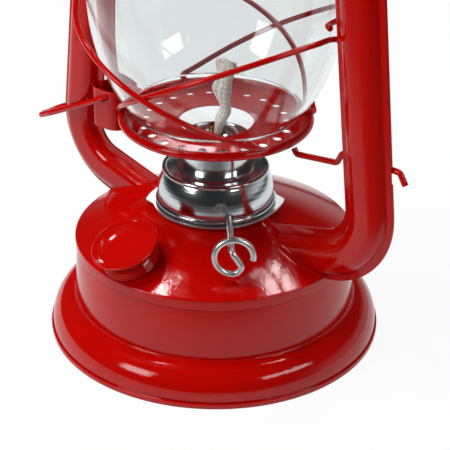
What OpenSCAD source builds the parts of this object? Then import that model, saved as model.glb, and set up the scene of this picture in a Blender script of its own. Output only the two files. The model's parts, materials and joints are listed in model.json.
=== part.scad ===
// Hurricane lantern: a tubular oil lantern with a lifting globe, a flat wick burner and a wire bail.
// Millimetres, +Z up, origin at the middle of the foot's resting plane.
// The two side tubes stand in the XZ plane and the filler cap faces -Y, which is the front.

/* [Foot and tank] */
// Outside diameter of the rolled hem that the lantern stands on
foot_d = 150; // [140:1:160]
// Height of the rolled hem
hem_h = 3.6; // [2.8:0.2:4.6]
// Height at which the flared foot meets the tank wall
foot_h = 16.2; // [14:0.2:20]
// Outside diameter of the tank wall at its floor
tank_d = 127; // [124:0.5:131]
// Outside diameter of the tank wall at its shoulder
tank_top_d = 124; // [120:0.5:126]
// Height of the tank floor above the ground
floor_z = 8; // [5:0.5:10]
// Height of the shoulder between wall and dome
shoulder_z = 45; // [42:0.5:50]
// Depth of the dome's lip, crimped over the wall
lip_h = 4.4; // [3:0.2:7]
// Rise of the dome from the shoulder to the throat
dome_rise = 14.4; // [12:0.2:16]
// Bulge of the dome above a straight cone
dome_bulge = 1.5; // [0.5:0.1:2.5]
// Diameter of the throat that the burner sits over
throat_d = 44; // [40:0.5:46]
// Thickness of the pressed sheet
sheet = 0.6; // [0.4:0.1:0.9]

/* [Filler] */
// Distance of the filler from the lantern's axis, measured on the dome
filler_r = 51.4; // [49:0.2:52.4]
// Direction of the filler about the axis
filler_angle = -93; // [-110:1:-75]
// Outside diameter of the filler neck
neck_d = 20; // [18:0.5:22]
// Length of the neck above the dome
neck_h = 5.6; // [5:0.2:8]
// Diameter of the cap's dished top
cap_d = 29; // [28:0.5:34]
// Thread pitch, the rise of the cap in one turn
thread_pitch = 2; // [1.5:0.1:3]
// Thickness of the seal under the cap
seal_t = 1.4; // [1:0.1:2]

/* [Burner] */
// Diameter of the burner shell over its lower rim
burner_d = 53; // [51:0.5:55]
// Diameter of the burner shell over its upper rim
burner_top_d = 47.2; // [45:0.2:49]
// Height of the burner shell
burner_h = 17; // [15:0.5:19]
// Outside diameter of the draught neck under the globe plate
draught_d = 30.6; // [28:0.2:31]
// Width of the flat wick
wick_w = 12; // [9:0.5:14]
// Thickness of the wick
wick_t = 2.8; // [2:0.1:3.4]
// Height of the top of the wick above the ground
wick_top = 127; // [115:1:135]
// Turn of the wick winder about the axis, from the front towards the right
winder_angle = 41.6; // [36:0.2:48]
// Diameter of the winder wire
winder_wire = 2.8; // [2.4:0.1:3]
// Diameter of the winder's open curl, to the middle of the wire
curl_d = 16; // [15:0.2:17]
// Distance of the curl from the lantern's axis
curl_reach = 55; // [52:0.5:60]
// Number of spiked wheels that drive the wick
wheel_count = 3; // [2:1:3]

/* [Globe] */
// Height of the middle of the globe plate's rolled rim
plate_z = 100.2; // [99:0.2:103]
// Outside diameter of the globe plate's rim
plate_d = 84.4; // [82:0.2:87]
// Thickness of the rolled rim
rim_t = 3.8; // [3.2:0.2:4.4]
// Diameter of the plate's middle opening
opening_d = 32.8; // [32.4:0.2:36]
// Number of air holes in the plate
hole_count = 22; // [16:1:26]
// Diameter of an air hole
hole_d = 3.6; // [2.8:0.2:4.4]
// Diameter of the globe at its foot
globe_foot_d = 73.6; // [70:0.2:75]
// Largest diameter of the globe
globe_d = 108; // [102:0.5:110]
// Diameter of the globe at its top
globe_top_d = 60; // [56:0.5:64]
// Height of the globe's widest part above its foot
globe_belly_h = 53; // [48:0.5:58]
// Whole height of the globe
globe_h = 101.5; // [97:0.5:102]
// Thickness of the glass
glass_t = 2.2; // [1.6:0.1:3]
// Diameter of the guard wire
guard_wire = 2.4; // [2:0.1:2.6]
// Angle between the side tubes and the feet of the wires that pass outside at the crossings
outer_foot_angle = 27; // [24:1:30]
// Angle between the side tubes and the feet of the wires that pass inside at the crossings
inner_foot_angle = 38; // [34:1:42]
// Height that the lever raises the globe
globe_lift = 9; // [6:0.5:10]

/* [Side tubes] */
// Distance from the globe's widest part to the middle of a tube, where the lower bend ends
tube_gap = 27.3; // [26:0.1:30]
// Lean of the long leg towards the axis
tube_lean = 6.8; // [6:0.1:7.4]
// Rise of the foot leg away from the tank
leg_rise = 15; // [12:0.5:18]
// Radius of the lower bend, to the middle of the tube
low_bend_r = 24; // [22:0.5:26]
// Height of the middle of the lower bend
low_bend_z = 78.9; // [76:0.2:82]
// Radius of the upper bend, to the middle of the tube
top_bend_r = 22; // [20:0.5:24]
// Width of a tube across its seam flanges
flange_w = 23.3; // [22:0.1:25]
// Width of a tube's round body
tube_w = 16.8; // [15:0.1:18]
// Thickness of a tube's round body
tube_t = 12; // [10:0.1:13]

/* [Crown and chimney] */
// Height of the bell between the globe and the chimney
bell_h = 7.6; // [6:0.2:12]
// Outside diameter of the crown
crown_d = 72; // [66:1:76]
// Height of the crown
crown_h = 24; // [24:0.5:28]
// Outside diameter of the sliding chimney
chimney_d = 40; // [36:0.5:44]
// Height that the chimney can be pulled up
chimney_lift = 12; // [6:0.5:12]
// Diameter of the hood
hood_d = 82; // [74:1:90]
// Height of the hood from its rim to the foot of its loop
hood_h = 22; // [18:0.5:26]
// Number of vent holes under the hood
vent_count = 10; // [6:1:12]
// Diameter of a vent hole
vent_d = 6; // [4:0.5:7]
// Diameter of the finger loop's wire
loop_wire = 3; // [2.4:0.1:3.6]
// Width of the finger loop inside
loop_w = 22; // [18:0.5:28]

/* [Bail and lever] */
// Distance from a tube's outer flange to the middle of the bail's leg
bail_gap = 8; // [7:0.5:11]
// Drop of the bail's pivots below the middle of the crown
bail_drop = 11.5; // [9.5:0.5:13.5]
// Straight part of a bail leg
bail_leg = 30; // [24:1:34]
// Diameter of the bail wire
bail_wire = 3; // [2.6:0.1:3.4]
// Angle from straight down at which the bail hangs against the guard
bail_hang = 34; // [33:0.5:40]
// Diameter of the lift lever's wire
lever_wire = 2.8; // [2.4:0.1:3]
// Length of the lever's handle from its pivot
lever_length = 52; // [50:0.5:56]
// Droop of the lever's handle at rest
lever_droop = 25.8; // [20:0.2:30]
// Distance of the lever's pivot from the tube's inner flange
lever_gap = 7.8; // [6.6:0.1:9]
// Drop of the lever's pivot below the middle of the plate's rim
lever_drop = 6; // [5.2:0.1:7.2]
// Diameter of the link wire on the right side
link_wire = 2.6; // [2.2:0.1:3]

/* [Clearances] */
// Gap between soldered or crimped sheets
seam = 0.05; // [0.02:0.01:0.1]
// Radial running clearance of a pin in its hole
pin_gap = 0.06; // [0.03:0.01:0.1]
// Gap between pieces that move past each other
free_gap = 0.4; // [0.3:0.05:0.6]

/* [Hidden] */
$fn = 64;

red = "#b8120d";
dark_red = "#8e0d0a";
nickel = "#c9ced1";
zinc = "#a9adb0";
cotton = "#e9dfc8";
clear_glass = [0.85, 0.92, 0.94, 0.35];

// Tank and foot
hem_r = hem_h / 2;
hem_flat = 0.3;
shoulder_r = tank_top_d / 2;
throat_r = throat_d / 2;
throat_z = shoulder_z + dome_rise;
function wall_r(z) = (tank_d + (tank_top_d - tank_d) * (z - floor_z) / (shoulder_z - floor_z)) / 2;
function dome_share(r) = (shoulder_r - r) / (shoulder_r - throat_r);
function dome_z(r) = shoulder_z + dome_rise * dome_share(r)
    + 4 * dome_bulge * dome_share(r) * (1 - dome_share(r));
dome_steps = 16;
function dome_line(grow) = [for (i = [0:dome_steps])
    let (r = throat_r + (shoulder_r - throat_r) * i / dome_steps) [r, dome_z(r) + grow]];

// Filler: its axis stands square to the dome
filler_tilt = atan((dome_rise + 4 * dome_bulge * (1 - 2 * dome_share(filler_r))) / (shoulder_r - throat_r));
neck_r = neck_d / 2;
neck_root = 3;
rib_t = 0.5;
cap_skirt_t = 0.8;
cap_skirt_r = neck_r + rib_t + free_gap + cap_skirt_t;
cap_dish = 2.6;
cap_top_t = 0.9;
cap_z = neck_h + 2 * free_gap + seal_t;

// Burner
seat_t = 1.2;
seat_top = throat_z + seat_t;
seat_r = burner_d / 2 + 1.2;
ear_reach = 3.4;
burner_foot_z = seat_top + free_gap;
burner_top_z = burner_foot_z + burner_h;
burner_r = burner_d / 2;
burner_top_r = burner_top_d / 2;
burner_t = 0.8;
burner_bulge = 1.3;
bead_r = 1.1;
deck_z = burner_top_z - 1.6;
draught_r = draught_d / 2;
draught_top = plate_z - 9.2;
shaft_z = burner_foot_z + 3.2;
shaft_r = winder_wire / 2;
wheel_r = 3.4;
wheel_t = 1.2;
wheel_teeth = 12;
wick_gap = 0.4;
wick_case_t = 0.5;
shaft_offset = wick_t / 2 + wick_gap + wheel_r;
wick_bottom = floor_z + 18;
wick_tube_bottom = throat_z - 8;
wick_tube_top = draught_top + 1.5;
winder_turn = winder_angle - 90;
bearer_reach = wick_w / 2 + 1.8;
bearer_t = 1.2;

// Globe and plate
rim_r = rim_t / 2;
plate_r = plate_d / 2;
rim_ring_r = plate_r - rim_r;
plate_floor_z = plate_z - 2.8;
hole_ring_r = plate_r - 10.9;
opening_r = opening_d / 2;
guard_r = guard_wire / 2;
foot_wire_z = plate_z + rim_r + guard_r + seam;
globe_z = foot_wire_z + guard_r + seam;
globe_foot_r = globe_foot_d / 2;
globe_belly_r = globe_d / 2;
globe_top_r = globe_top_d / 2;
globe_top_z = globe_z + globe_h;
belly_z = globe_z + globe_belly_h;
low_angle = acos(globe_foot_r / globe_belly_r);
high_angle = acos(globe_top_r / globe_belly_r);
low_height = globe_belly_h / sin(low_angle);
high_height = (globe_h - globe_belly_h) / sin(high_angle);
crown_bottom = globe_top_z + bell_h + globe_lift + chimney_lift + 2 * free_gap;
crown_z = crown_bottom + crown_h / 2;
function belly_height(a) = a < 0 ? low_height : high_height;
globe_steps = 14;
function globe_line(inset) = concat(
    [for (i = [0:globe_steps]) let (a = -low_angle * (1 - i / globe_steps))
        [(globe_belly_r - inset) * cos(a), belly_z + belly_height(a) * sin(a)]],
    [for (i = [1:globe_steps]) let (a = high_angle * i / globe_steps)
        [(globe_belly_r - inset) * cos(a), belly_z + belly_height(a) * sin(a)]]);
function globe_r(z) = globe_belly_r * sqrt(max(0.05,
    1 - pow((z - belly_z) / belly_height(z - belly_z), 2)));

// Side tubes
tube_reach = globe_belly_r + tube_gap;
low_bend_x = tube_reach - low_bend_r * cos(tube_lean);
leg_start_z = low_bend_z + low_bend_r * sin(tube_lean);
top_bend_z = crown_z - top_bend_r;
leg_end_z = top_bend_z + top_bend_r * sin(tube_lean);
long_leg = (leg_end_z - leg_start_z) / cos(tube_lean);
leg_end_x = tube_reach - long_leg * sin(tube_lean);
top_bend_x = leg_end_x - top_bend_r * cos(tube_lean);
foot_leg = 44;
tube_flat = (tube_w - tube_t) / 2;
boss_h = 1.4;
boss_w = 1.6;
function tube_mid(z) = tube_reach - (z - leg_start_z) * tan(tube_lean);
function inner_flange(z) = tube_mid(z) - flange_w / 2 / cos(tube_lean);
function outer_flange(z) = tube_mid(z) + flange_w / 2 / cos(tube_lean);

// Crown, chimney and hood
crown_r = crown_d / 2;
crown_top = crown_z + crown_h / 2;
chimney_r = chimney_d / 2;
bell_z = globe_top_z + free_gap;
bell_r = globe_top_r + 3;
bell_drop = 1.6;
hood_r = hood_d / 2;
hood_z = crown_top + 4.5;
hood_t = 0.8;
hood_rim = 1.5;
hood_edge = hood_r - hood_rim;
hood_steps = 12;
vent_z = crown_top + 1 + vent_d / 2;
loop_r = loop_wire / 2;
hood_top_r = 9;
function hood_line(r) = hood_z + hood_h * (1 - pow((r - hood_top_r) / (hood_edge - hood_top_r), 1.6));
chimney_top = hood_line(chimney_r) - hood_t - seam;

// Guard wires: feet on the plate's rim, hooks round the inner flanges of the tubes
guard_rest_gap = guard_r + 1;
guard_outer_gap = guard_rest_gap + guard_wire + 0.4;
hook_z_inner = belly_z - 8;
hook_z_outer = belly_z - 2;
hook_slack = 2;
guard_steps = 26;
wire_sides = 8;

// Bends are let into the straight pieces next to them
overlap = 0.35;
thinning = 0.03;

// Lever and link, which move with the globe
lever_r = lever_wire / 2;
lever_z = plate_z - lever_drop;
lever_x = inner_flange(lever_z) - lever_gap;
bracket_w = 12.4;
bracket_t = 0.8;
bracket_bottom = lever_z - 15.8;
bracket_top = lever_z + 2.8;
finger_w = 5.2;
lever_bend = lever_r + 0.4;
lever_leg_y = bracket_w / 2 + free_gap + lever_bend;
lever_eye_r = 6;
finger_reach = lever_x - rim_ring_r;
finger_tip_z = plate_z - rim_r - free_gap - lever_r;
finger_rise = atan((finger_tip_z - lever_z) / finger_reach);
lever_swing = atan((finger_tip_z + globe_lift - lever_z) / finger_reach) - finger_rise;
finger_length = finger_reach + 2;
link_r = link_wire / 2;
link_y = link_r + free_gap;
link_tip_z = plate_z - rim_r - link_r + 0.5;
link_tip_x = rim_ring_r + 0.6;
link_low_z = link_tip_z - 2.4;
link_low_x = link_tip_x + 1.6;
link_pivot_z = plate_z + 2.6;
link_pivot_x = tube_mid(link_pivot_z);
link_knee_x = inner_flange(link_pivot_z) - 4;
link_bend_x = inner_flange(link_pivot_z) - 1.6;
link_out_x = outer_flange(link_pivot_z) + 2.6;
link_end_x = link_out_x + 3;
link_end_z = link_pivot_z - 4.8;
link_arm = norm([link_pivot_x - link_tip_x, link_pivot_z - link_tip_z]);
link_swing = asin((link_tip_z + globe_lift - link_pivot_z) / link_arm)
    - asin((link_tip_z - link_pivot_z) / link_arm);

// Bail
bail_r = bail_wire / 2;
bail_z = crown_z - bail_drop;
ear_x = top_bend_x + sqrt(pow(top_bend_r + flange_w / 2, 2) - pow(bail_z - top_bend_z, 2));
ear_t = 2.4;
ear_r = 4.6;
bail_x = ear_x + bail_gap;
ear_mid = bail_x - bail_r - ear_t / 2 - 0.9;

// A closed turned solid from a line of [radius, height] points
module turned(points) {
    rotate_extrude($fn = 128) polygon(points);
}

// A flat ring
module ring(outer, inner, z, h) {
    translate([0, 0, z]) difference() {
        cylinder(r = outer, h = h, $fn = 128);
        translate([0, 0, -1]) cylinder(r = inner, h = h + 2, $fn = 128);
    }
}

// A round bead running round the axis
module bead(r, z, thick) {
    translate([0, 0, z]) rotate_extrude($fn = 128) translate([r, 0]) circle(r = thick);
}

// Unit vector, and the turns that lay X and Y along two given square directions
function unit(v) = v / norm(v);
function turn_to(x, y) = let (z = cross(x, y)) abs(x[2]) > 0.99999
    ? [0, -90 * sign(x[2]), atan2(-y[0], y[1])]
    : [atan2(y[2], z[2]), -asin(x[2]), atan2(x[1], x[0])];

// Angle of a corner of a path, and the length that its bend takes from each side
function corner_turn(p, i) = i == 0 || i == len(p) - 1 ? 0
    : acos(max(-1, min(1, unit(p[i] - p[i - 1]) * unit(p[i + 1] - p[i]))));
function bend_cut(p, bends, i) = bends[i] * tan(corner_turn(p, i) / 2);

// A round bend about Z, a hair thinner than its wire and let into the straights at both ends
module wire_bend(bend_r, start, angle, r) {
    let_in = overlap / bend_r * 180 / PI * sign(angle);
    rotate([0, 0, start - let_in]) rotate_extrude(angle = angle + 2 * let_in)
        translate([bend_r, 0]) circle(r = r - thinning, $fn = 32);
}

// A round wire along a path of points, with a bend of its own radius at every corner
module bent_wire(p, bends, r) {
    for (i = [0:len(p) - 2]) {
        way = unit(p[i + 1] - p[i]);
        cut = bend_cut(p, bends, i);
        translate(p[i] + cut * way) rotate([0, acos(way[2]), atan2(way[1], way[0])])
            cylinder(r = r, h = norm(p[i + 1] - p[i]) - cut - bend_cut(p, bends, i + 1));
    }
    for (i = [1:len(p) - 2]) {
        before = unit(p[i] - p[i - 1]);
        after = unit(p[i + 1] - p[i]);
        inward = unit(after - (after * before) * before);
        middle = p[i] - bend_cut(p, bends, i) * before + bends[i] * inward;
        translate(middle) rotate(turn_to(-inward, before)) wire_bend(bends[i], 0, corner_turn(p, i), r);
    }
}

// Directions along a path, and a side direction that does not twist about it
function path_turns(p) = [for (i = [0:len(p) - 1])
    unit(p[min(i + 1, len(p) - 1)] - p[max(i - 1, 0)])];
function path_sides(t) = [for (i = 0, n = unit(cross(t[0], [0.31, 0.17, 0.93])); i < len(t);
    i = i + 1, n = i < len(t) ? unit(n - (n * t[i]) * t[i]) : n) n];

// A wire of round section swept along a path of points
module swept_wire(path, r, sides) {
    turns = path_turns(path);
    normals = path_sides(turns);
    count = len(path);
    points = [for (i = [0:count - 1]) for (k = [0:sides - 1])
        let (a = 360 * k / sides)
        path[i] + r * (cos(a) * normals[i] + sin(a) * cross(turns[i], normals[i]))];
    skin = [for (i = [0:count - 2]) for (k = [0:sides - 1]) each
        let (a = i * sides + k, b = i * sides + (k + 1) % sides)
        [[a, a + sides, b], [b, a + sides, b + sides]]];
    ends = [for (k = [1:sides - 2]) each
        [[0, k, k + 1], [(count - 1) * sides, (count - 1) * sides + k + 1, (count - 1) * sides + k]]];
    polyhedron(points = points, faces = concat(skin, ends), convexity = 6);
}

// Flared foot with its rolled hem
module foot_skirt() {
    top_r = wall_r(foot_h - sheet) + seam;
    base_z = hem_h - sheet;
    flare = foot_d / 2 - hem_r * 0.8 - top_r;
    rise = foot_h - base_z;
    outer = [for (a = [0:6:90]) [top_r + flare * cos(a), base_z + rise * sin(a)]];
    inner = [for (a = [90:-6:0]) [top_r + (flare - sheet) * cos(a), base_z + (rise - sheet) * sin(a)]];
    color(red) difference() {
        union() {
            bead(foot_d / 2 - hem_r, hem_r - hem_flat, hem_r);
            turned(concat(outer, inner));
        }
        translate([0, 0, -hem_h]) cylinder(r = foot_d, h = hem_h);
    }
}

// Tank wall and floor
module tank_shell() {
    color(dark_red) turned([[0, floor_z], [wall_r(floor_z), floor_z], [wall_r(shoulder_z), shoulder_z],
        [wall_r(shoulder_z) - sheet, shoulder_z], [wall_r(floor_z) - sheet, floor_z + sheet],
        [0, floor_z + sheet]]);
}

// Everything below the dome's outer skin, grown by a given amount
module below_dome(grow) {
    lip_z = shoulder_z - lip_h;
    turned(concat([[0, floor_z]], [[wall_r(floor_z) + grow, floor_z]],
        [[wall_r(lip_z) + sheet + seam + grow, lip_z]],
        [[wall_r(shoulder_z) + sheet + seam + grow, shoulder_z]],
        [for (i = [dome_steps:-1:0]) dome_line(sheet + grow)[i]], [[0, throat_z + sheet + grow]]));
}

// Places its children on the dome at the filler, with +Z along the filler's axis
module at_filler() {
    rotate([0, 0, filler_angle]) translate([filler_r, 0, dome_z(filler_r)])
        rotate([0, filler_tilt, 0]) children();
}

// Dome of the tank with its lip, throat and the raised bosses round the tube feet
module tank_dome() {
    lip_z = shoulder_z - lip_h;
    color(red) difference() {
        union() {
            turned(concat(dome_line(seam), [[wall_r(shoulder_z) + seam, shoulder_z + seam],
                [wall_r(lip_z) + seam, lip_z], [wall_r(lip_z) + seam + sheet, lip_z],
                [wall_r(shoulder_z) + seam + sheet, shoulder_z]],
                [for (i = [dome_steps:-1:0]) dome_line(sheet)[i]]));
            for (side = [0, 1]) mirror([side, 0, 0]) intersection() {
                difference() {
                    below_dome(boss_h);
                    below_dome(-seam);
                }
                foot_leg_solid(boss_w);
            }
        }
        for (side = [0, 1]) mirror([side, 0, 0]) foot_leg_solid(seam);
        at_filler() translate([0, 0, -neck_root - 1]) cylinder(r = neck_r + seam, h = neck_root + 6);
        translate([0, 0, floor_z]) cylinder(r = throat_r, h = throat_z);
    }
}

// Threaded neck of the filler
module filler_neck() {
    color(zinc) at_filler() difference() {
        union() {
            translate([0, 0, -neck_root]) cylinder(r = neck_r, h = neck_root + neck_h);
            for (k = [1:2]) translate([0, 0, 1 + k * thread_pitch]) rotate_extrude()
                translate([neck_r, 0]) circle(r = rib_t);
        }
        translate([0, 0, -neck_root - 1]) cylinder(r = neck_r - 1.2, h = neck_root + neck_h + 2);
    }
}

// Screw cap with a dished top, a thin flared rim and a ribbed skirt
module filler_cap() {
    rim = cap_d / 2;
    skirt_foot = 1.6;
    color(red) at_filler() {
        rotate_extrude() polygon([[0, cap_z], [cap_skirt_r, cap_z], [rim - 0.6, cap_z + cap_dish],
            [rim, cap_z + cap_dish], [rim, cap_z + cap_dish + 0.5], [rim - 0.9, cap_z + cap_dish + 0.5],
            [cap_skirt_r - 0.6, cap_z + cap_top_t], [0, cap_z + cap_top_t]]);
        difference() {
            union() {
                translate([0, 0, skirt_foot]) cylinder(r = cap_skirt_r, h = cap_z - skirt_foot);
                for (k = [0:2]) translate([0, 0, skirt_foot + 1.2 + k * thread_pitch]) rotate_extrude()
                    translate([cap_skirt_r, 0]) circle(r = rib_t);
            }
            translate([0, 0, skirt_foot - 1])
                cylinder(r = cap_skirt_r - cap_skirt_t, h = cap_z - skirt_foot + 1);
        }
    }
}

// Seal disc between the neck and the cap
module cap_seal() {
    color("#2b2624") at_filler() translate([0, 0, neck_h + free_gap]) difference() {
        cylinder(r = neck_r, h = seal_t);
        translate([0, 0, -1]) cylinder(r = neck_r - 4, h = seal_t + 2);
    }
}

// Ear of the seat: a ramp that grows round the ring to a sharp tip
function ear_outline() = concat([[0, 0]],
    [for (i = [0:8]) let (a = 5.4 * i - 2) (seat_r - 0.4 + ear_reach * pow(i / 8, 1.5)) * [cos(a), sin(a)]],
    [(seat_r - 0.4) * [cos(52), sin(52)]]);

// Flat ring over the throat with two ramped ears
module burner_seat() {
    thick = seat_t - sheet - seam;
    color(nickel) translate([0, 0, throat_z + sheet + seam]) difference() {
        union() {
            cylinder(r = seat_r, h = thick, $fn = 128);
            for (side = [0, 180]) rotate([0, 0, side]) linear_extrude(thick) polygon(ear_outline());
        }
        translate([0, 0, -1]) cylinder(r = throat_r - 2, h = thick + 2, $fn = 128);
    }
}

// Radius of the burner shell at a share of its height
function shell_r(t) = burner_r - bead_r + (burner_top_r - burner_r) * t + 4 * burner_bulge * t * (1 - t);

// Bulging nickel shell of the burner, notched for the winder
module burner_shell() {
    steps = 10;
    low = burner_foot_z + bead_r;
    rise = burner_h - 2 * bead_r;
    outer = [for (i = [0:steps]) [shell_r(i / steps), low + rise * i / steps]];
    inner = [for (i = [steps:-1:0]) [shell_r(i / steps) - burner_t, low + rise * i / steps]];
    color(nickel) difference() {
        union() {
            turned(concat(outer, inner));
            bead(burner_r - bead_r, low, bead_r);
            bead(burner_top_r - bead_r, burner_top_z - bead_r, bead_r);
        }
        at_shaft() {
            translate([burner_r / 2, 0, 0]) rotate([0, 90, 0]) cylinder(r = shaft_r + free_gap, h = burner_r);
            translate([burner_r / 2, -shaft_r - free_gap, -burner_h / 2])
                cube([burner_r, winder_wire + 2 * free_gap, burner_h / 2]);
        }
    }
}

// Flat deck between the shell's upper rim and the draught neck
module burner_deck() {
    color(nickel) ring(burner_top_r - 2 * bead_r - seam, draught_r + seam, deck_z, burner_t);
}

// Draught neck with a pressed ring at its foot
module draught_neck() {
    color(nickel) difference() {
        union() {
            translate([0, 0, deck_z - 2]) cylinder(r = draught_r, h = draught_top - deck_z + 2, $fn = 128);
            translate([0, 0, deck_z + burner_t + seam])
                cylinder(r1 = draught_r + 1.8, r2 = draught_r + 1.4, h = 1.4, $fn = 128);
        }
        translate([0, 0, deck_z - 3])
            cylinder(r = draught_r - burner_t, h = draught_top - deck_z + 4, $fn = 128);
    }
}

// Burner cap in the neck: a pierced ring with a slotted dome over the wick tube
module burner_dome() {
    rim = draught_r - burner_t - seam;
    foot_z = draught_top - 1.2;
    dome_r = 0.73 * rim;
    rise = 6;
    hole_r = 0.8;
    outer = [for (a = [0:10:90]) [dome_r * cos(a), foot_z + burner_t + (rise - burner_t) * sin(a)]];
    inner = [for (a = [90:-10:0]) [(dome_r - burner_t) * cos(a), foot_z + (rise - burner_t) * sin(a)]];
    color(nickel) difference() {
        turned(concat([[rim, foot_z], [rim, foot_z + burner_t]], outer, inner));
        rotate([0, 0, winder_turn]) translate([0, 0, foot_z + burner_t + rise])
            cube([2 * dome_r - 3, wick_t + 3.6, 2 * rise], center = true);
        for (side = [0, 180], a = [40:20:140]) rotate([0, 0, winder_turn + side + a])
            translate([(rim + dome_r) / 2, 0, foot_z - 1]) cylinder(r = hole_r, h = burner_t + 2);
    }
}

// Places its children with +X along the winder shaft
module at_shaft() {
    rotate([0, 0, winder_turn]) translate([0, shaft_offset, shaft_z]) children();
}

// Flat brass tube that carries the wick, with a window for the spiked wheels
module wick_tube() {
    in_w = wick_w + 2 * wick_gap;
    in_t = wick_t + 2 * wick_gap;
    color("#b9984a") difference() {
        rotate([0, 0, winder_turn]) translate([0, 0, wick_tube_bottom]) difference() {
            translate([-in_w / 2 - wick_case_t, -in_t / 2 - wick_case_t, 0])
                cube([in_w + 2 * wick_case_t, in_t + 2 * wick_case_t, wick_tube_top - wick_tube_bottom]);
            translate([-in_w / 2, -in_t / 2, -1]) cube([in_w, in_t, wick_tube_top - wick_tube_bottom + 2]);
        }
        at_shaft() rotate([0, 90, 0]) cylinder(r = wheel_r + free_gap, h = wick_w, center = true);
    }
}

// Bracket on the wick tube in which the winder shaft turns
module shaft_bearer() {
    face = wick_t / 2 + wick_gap + wick_case_t + seam;
    out = shaft_offset + shaft_r + 2 - face;
    color("#b9984a") rotate([0, 0, winder_turn]) difference() {
        for (side = [-1, 1]) translate([side * bearer_reach - bearer_t / 2, face, shaft_z - 5])
            cube([bearer_t, out, 12]);
        translate([-2 * bearer_reach, shaft_offset, shaft_z]) rotate([0, 90, 0])
            cylinder(r = shaft_r + pin_gap, h = 4 * bearer_reach);
    }
    color("#b9984a") rotate([0, 0, winder_turn]) translate([-bearer_reach - bearer_t / 2, face, shaft_z + 7])
        cube([2 * bearer_reach + bearer_t, out, burner_t]);
}

// Winder: a straight shaft bent into an open curl outside the burner
module winder_shaft() {
    ring_r = curl_d / 2;
    middle = [curl_reach, 0.13 * ring_r, -0.3 * ring_r];
    start_turn = -105;
    end_turn = -366;
    start = middle + ring_r * [0, cos(start_turn), sin(start_turn)];
    low = start + 0.38 * ring_r * [0, -sin(start_turn), cos(start_turn)];
    tail = -bearer_reach - 2;
    color(zinc) at_shaft() {
        bent_wire([[tail, 0, 0], [curl_reach, 0, 0], [curl_reach, 0.57 * ring_r, -0.89 * ring_r], low, start],
            [0, 2.2, 1.8, 0.42 * ring_r, 0], shaft_r);
        translate(middle) rotate([90, 0, 90]) wire_bend(ring_r, start_turn, end_turn - start_turn, shaft_r);
    }
}

// Spiked wheels on the shaft that feed the wick
module wick_wheels() {
    pitch = wick_w / wheel_count;
    color("#8d8f91") at_shaft() for (k = [0:wheel_count - 1])
        translate([(k - (wheel_count - 1) / 2) * pitch - wheel_t / 2, 0, 0]) rotate([0, 90, 0]) difference() {
            linear_extrude(wheel_t) polygon([for (i = [0:2 * wheel_teeth - 1])
                let (a = 180 * i / wheel_teeth, r = i % 2 == 0 ? wheel_r : wheel_r - 0.9)
                [r * cos(a), r * sin(a)]]);
            translate([0, 0, -1]) cylinder(r = shaft_r + 0.01, h = wheel_t + 2);
        }
}

// Flat cotton wick
module wick() {
    color(cotton) rotate([0, 0, winder_turn]) translate([-wick_w / 2, -wick_t / 2, wick_bottom])
        cube([wick_w, wick_t, wick_top - wick_bottom]);
}

// Globe plate: a pierced dish with a rolled rim and a round opening
module globe_plate() {
    floor_out = rim_ring_r - 4.2;
    floor_in = hole_ring_r - hole_d;
    floor_in_z = plate_floor_z + 0.9;
    edge_z = plate_z - 2.1;
    color(red) difference() {
        union() {
            bead(rim_ring_r, plate_z, rim_r);
            turned([[rim_ring_r, plate_z - sheet / 2], [floor_out, plate_floor_z], [floor_in, floor_in_z],
                [opening_r, edge_z], [opening_r, edge_z + sheet], [floor_in, floor_in_z + sheet],
                [floor_out, plate_floor_z + sheet],
                [rim_ring_r, plate_z + sheet / 2]]);
        }
        for (k = [0:hole_count - 1]) rotate([0, 0, 360 * (k + 0.32) / hole_count])
            translate([hole_ring_r, 0, plate_floor_z - 2]) cylinder(r = hole_d / 2, h = 5);
    }
}

// Blown glass globe
module globe() {
    outer = globe_line(0);
    inner = globe_line(glass_t);
    color(clear_glass) turned(concat(outer, [for (i = [len(inner) - 1:-1:0]) inner[i]]));
}

// Height share of a guard wire along its way from the foot to the hook
function guard_share(s) = 0.5 * sin(90 * s) + 0.25 * (1 - cos(180 * s));

// Path of a guard wire that starts at a foot on the left and hooks round the right tube, seen from the front
function guard_path(foot_angle, gap, hook_z) =
    let (start = foot_angle - 180, rise = hook_z - foot_wire_z,
        hook_r = max(globe_r(hook_z) + guard_rest_gap,
            inner_flange(hook_z) - guard_r - hook_slack - globe_lift * tan(tube_lean)),
        turn_end = -5)
    concat([for (r = [globe_foot_r - glass_t, rim_ring_r - 1, rim_ring_r + 1.2])
            [r * cos(start), r * sin(start), foot_wire_z]],
        [for (i = [1:guard_steps])
            let (s = i / guard_steps, a = start + (turn_end - start) * s,
                z = foot_wire_z + rise * guard_share(s),
                bulge = globe_r(z) + gap, near_foot = pow(1 - s, 6), near_hook = pow(s, 8),
                r = bulge * (1 - near_foot - near_hook) + (rim_ring_r + 2) * near_foot + hook_r * near_hook)
            [r * cos(a), r * sin(a), z]],
        [[hook_r, -1, hook_z], [hook_r + 0.7, 1.7, hook_z], [hook_r + 3.2, 3, hook_z]]);

// One guard wire; the outer ones run the other way round and pass outside the inner ones
module guard_inner() {
    color(red) swept_wire(guard_path(inner_foot_angle, guard_rest_gap, hook_z_inner), guard_r, wire_sides);
}

module guard_outer() {
    color(red) mirror([1, 0, 0])
        swept_wire(guard_path(outer_foot_angle, guard_outer_gap, hook_z_outer), guard_r, wire_sides);
}

module guard_front_outer() { guard_outer(); }

module guard_front_inner() { guard_inner(); }

module guard_rear_outer() { rotate([0, 0, 180]) guard_outer(); }

module guard_rear_inner() { rotate([0, 0, 180]) guard_inner(); }

// Round body of a tube's section, grown or shrunk
module body_section(grow) {
    r = tube_t / 2 + grow;
    square([2 * tube_flat, 2 * r], center = true);
    for (side = [-1, 1]) translate([side * tube_flat, 0]) circle(r = r);
}

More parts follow.
